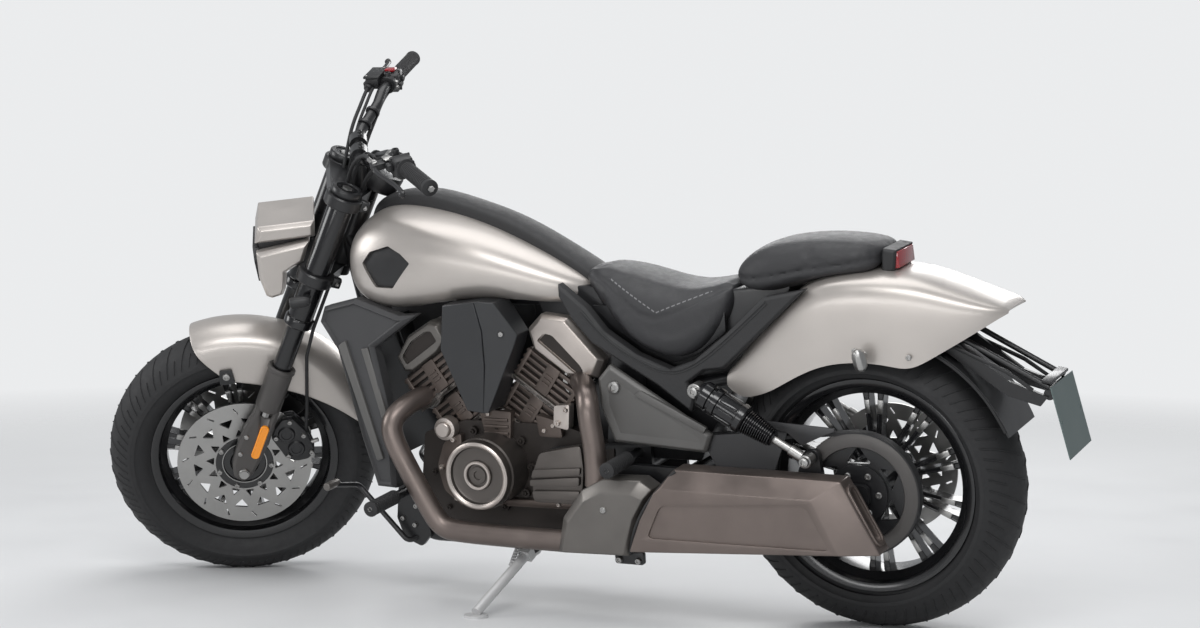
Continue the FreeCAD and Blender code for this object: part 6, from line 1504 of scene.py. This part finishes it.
ridge = slab([(-150, 634), (-300, 566), (-352, 532), (-356, 538), (-304, 574), (-152, 641)], 62, 66, 1)
lug = solid([(-372, -66, 552), (-372, 66, 552), (-392, 66, 548), (-392, -66, 548)], (0, 0, 6), 1.5)
finished(joined([paired(ridge), lug]), "carrier_ribs", frame_black)

# Foot controls

peg_parts = []
for place, start in (((1078, 0, 256), 176), ((508, 0, 370), 156)):
    profile = [(0, start - 2), (13, start - 2)]
    for number in range(12):
        along = start + number * 8.2
        profile += [(16.5, along), (16.5, along + 5.2), (14.6, along + 6), (14.6, along + 7.6)]
    profile += [(17, start + 99), (17, start + 104), (14, start + 106), (0, start + 106)]
    peg_parts.append(lathe(profile, place, 24))
finished(paired(joined(peg_parts)), "peg_rubbers", rubber)
foot_screws = bolts([(1066, 113, 176), (1096, 113, 190), (1060, 113, 220), (1094, 113, 246)], 6, 5)
foot_screws += [cover_bolt((520, 98, 330), 15), bolt((508, 100, 408), 6, 5)]
foot_screws += bolts([(508, 258, 370), (1078, 278, 256)], 7, 4)
finished(paired(joined(foot_screws)), "foot_screws", steel)

toe_profile = [(0, -24), (8, -24), (9.5, -21), (9.5, 21), (8, 24), (0, 24)]
toe = lathe(toe_profile, (1207, 224, 290), 10)
finished(paired(bevel(toe, 1, 2)), "toe_pieces", shield_grey)

# Belt drive

guard_outline = [(200, 463), (46, 454), (44, 447), (72, 436), (118, 414), (150, 441), (200, 449)]
guard_plate = slab(guard_outline, 131.5, 137, 1.5)
finished(guard_plate, "belt_guard_plate", panel_grey)
ring_profile = [(100, 131), (126, 131), (129, 129), (129, 124), (98, 124), (98, 128)]
pulley_ring = lathe(ring_profile, rear_axle_place, 80)
finished(pulley_ring, "pulley_ring", fork_grey, rear_wheel)
tooth_foot, tooth_top = rear_z + 126, rear_z + 130.6
teeth = slab([(-3.4, tooth_foot), (3.4, tooth_foot), (2.6, tooth_top), (-2.6, tooth_top)], 107, 129, 0.6)
finished(around(teeth, 60, rear_axle_place), "pulley_teeth", shield_grey, rear_wheel)

# Side stand

stand_top, stand_low = Vector((764, 128, 150)), Vector((804, 332, 0))
stand_line = (stand_low - stand_top).normalized()
link = bar([stand_top + Vector((26, 4, 16)), stand_top + stand_line * 60 + Vector((22, 0, 4))], 5, 2)
coil_points = []
turn_points, coil_turns = 7, 12
steps = turn_points * coil_turns
for step in range(steps + 1):
    angle = 2 * math.pi * step / turn_points
    place = stand_top + Vector((26, 6, 14)) + (stand_line * 92 + Vector((-22, 0, -8))) * (step / steps)
    coil_points.append(place + Vector((math.cos(angle) * 7, math.sin(angle) * 5, math.sin(angle) * 5)))
stand_spring = joined([link, bar(coil_points, 1.7, 4, 2, 2)])
finished(stand_spring, "stand_spring", stand_white, side_stand)

# Stage, lights and camera

bpy.ops.object.select_all(action="DESELECT")
bpy.ops.mesh.primitive_plane_add(size=24, location=(0, 0, 0))
floor = bpy.context.object
floor.name = "floor"
floor_finish = Finish("pale_floor", (0.66, 0.665, 0.67), 0.55)
cloud = floor_finish.noise(3, 4.0)
floor_finish.feed("Roughness", floor_finish.spread(cloud, 0.3, 0.7, 0.42, 0.6))
reach = floor_finish.node("ShaderNodeVectorMath", {"operation": "LENGTH"}, floor_finish.place, output=1)
floor_finish.feed("Alpha", floor_finish.spread(reach, 1.6, 5.5, 1.0, 0.0))
floor.data.materials.append(floor_finish.material)

world = bpy.data.worlds.new("studio")
bpy.context.scene.world = world
world.use_nodes = True
tree = world.node_tree
surround = tree.nodes["Background"]
surround.inputs["Color"].default_value = (0.8, 0.82, 0.85, 1)
surround.inputs["Strength"].default_value = 0.5
backdrop = tree.nodes.new("ShaderNodeBackground")
backdrop.inputs["Color"].default_value = (0.83, 0.84, 0.85, 1)
backdrop.inputs["Strength"].default_value = 1.0
rays = tree.nodes.new("ShaderNodeLightPath")
chooser = tree.nodes.new("ShaderNodeMixShader")
tree.links.new(rays.outputs["Is Camera Ray"], chooser.inputs[0])
tree.links.new(surround.outputs[0], chooser.inputs[1])
tree.links.new(backdrop.outputs[0], chooser.inputs[2])
tree.links.new(chooser.outputs[0], tree.nodes["World Output"].inputs["Surface"])


def softbox(name, location, target, size, power, size_y):
    light = bpy.data.lights.new(name, "AREA")
    light.energy = power
    light.shape = "RECTANGLE"
    light.size = size
    light.size_y = size_y
    item = bpy.data.objects.new(name, light)
    bpy.context.scene.collection.objects.link(item)
    item.location = location
    aim = Vector(target) - Vector(location)
    item.rotation_euler = aim.to_track_quat("-Z", "Y").to_euler()


softbox("key_softbox", (-1.2, 3.2, 3.4), (0, 0, 0.5), 3.0, 84, 1.2)
softbox("ceiling_softbox", (0.2, -0.2, 3.8), (0, 0, 0), 3.4, 52, 2.0)
softbox("back_softbox", (0.6, -3.4, 2.2), (0, 0, 0.6), 3.0, 55, 1.2)
softbox("front_softbox", (3.4, 1.6, 1.8), (0.6, 0, 0.5), 1.4, 38, 1.6)
softbox("low_strip", (-0.4, 3.4, 0.7), (0, 0, 0.45), 3.2, 22, 0.4)

camera_data = bpy.data.cameras.new("photo_camera")
camera = bpy.data.objects.new("photo_camera", camera_data)
bpy.context.scene.collection.objects.link(camera)
bpy.context.scene.camera = camera
camera_data.sensor_width = 36
camera_data.lens = 75.03
camera.location = Vector((-1.711, 5.008, 0.986)) + Vector((floor_point.x, floor_point.y, 0))
view_line = Vector((0.429, -0.901, -0.063))
camera.rotation_mode = "QUATERNION"
level = view_line.to_track_quat("-Z", "Y")
roll = Matrix.Rotation(-0.0052, 4, view_line).to_quaternion()
camera.rotation_quaternion = roll @ level
bpy.context.scene.view_settings.view_transform = "Standard"
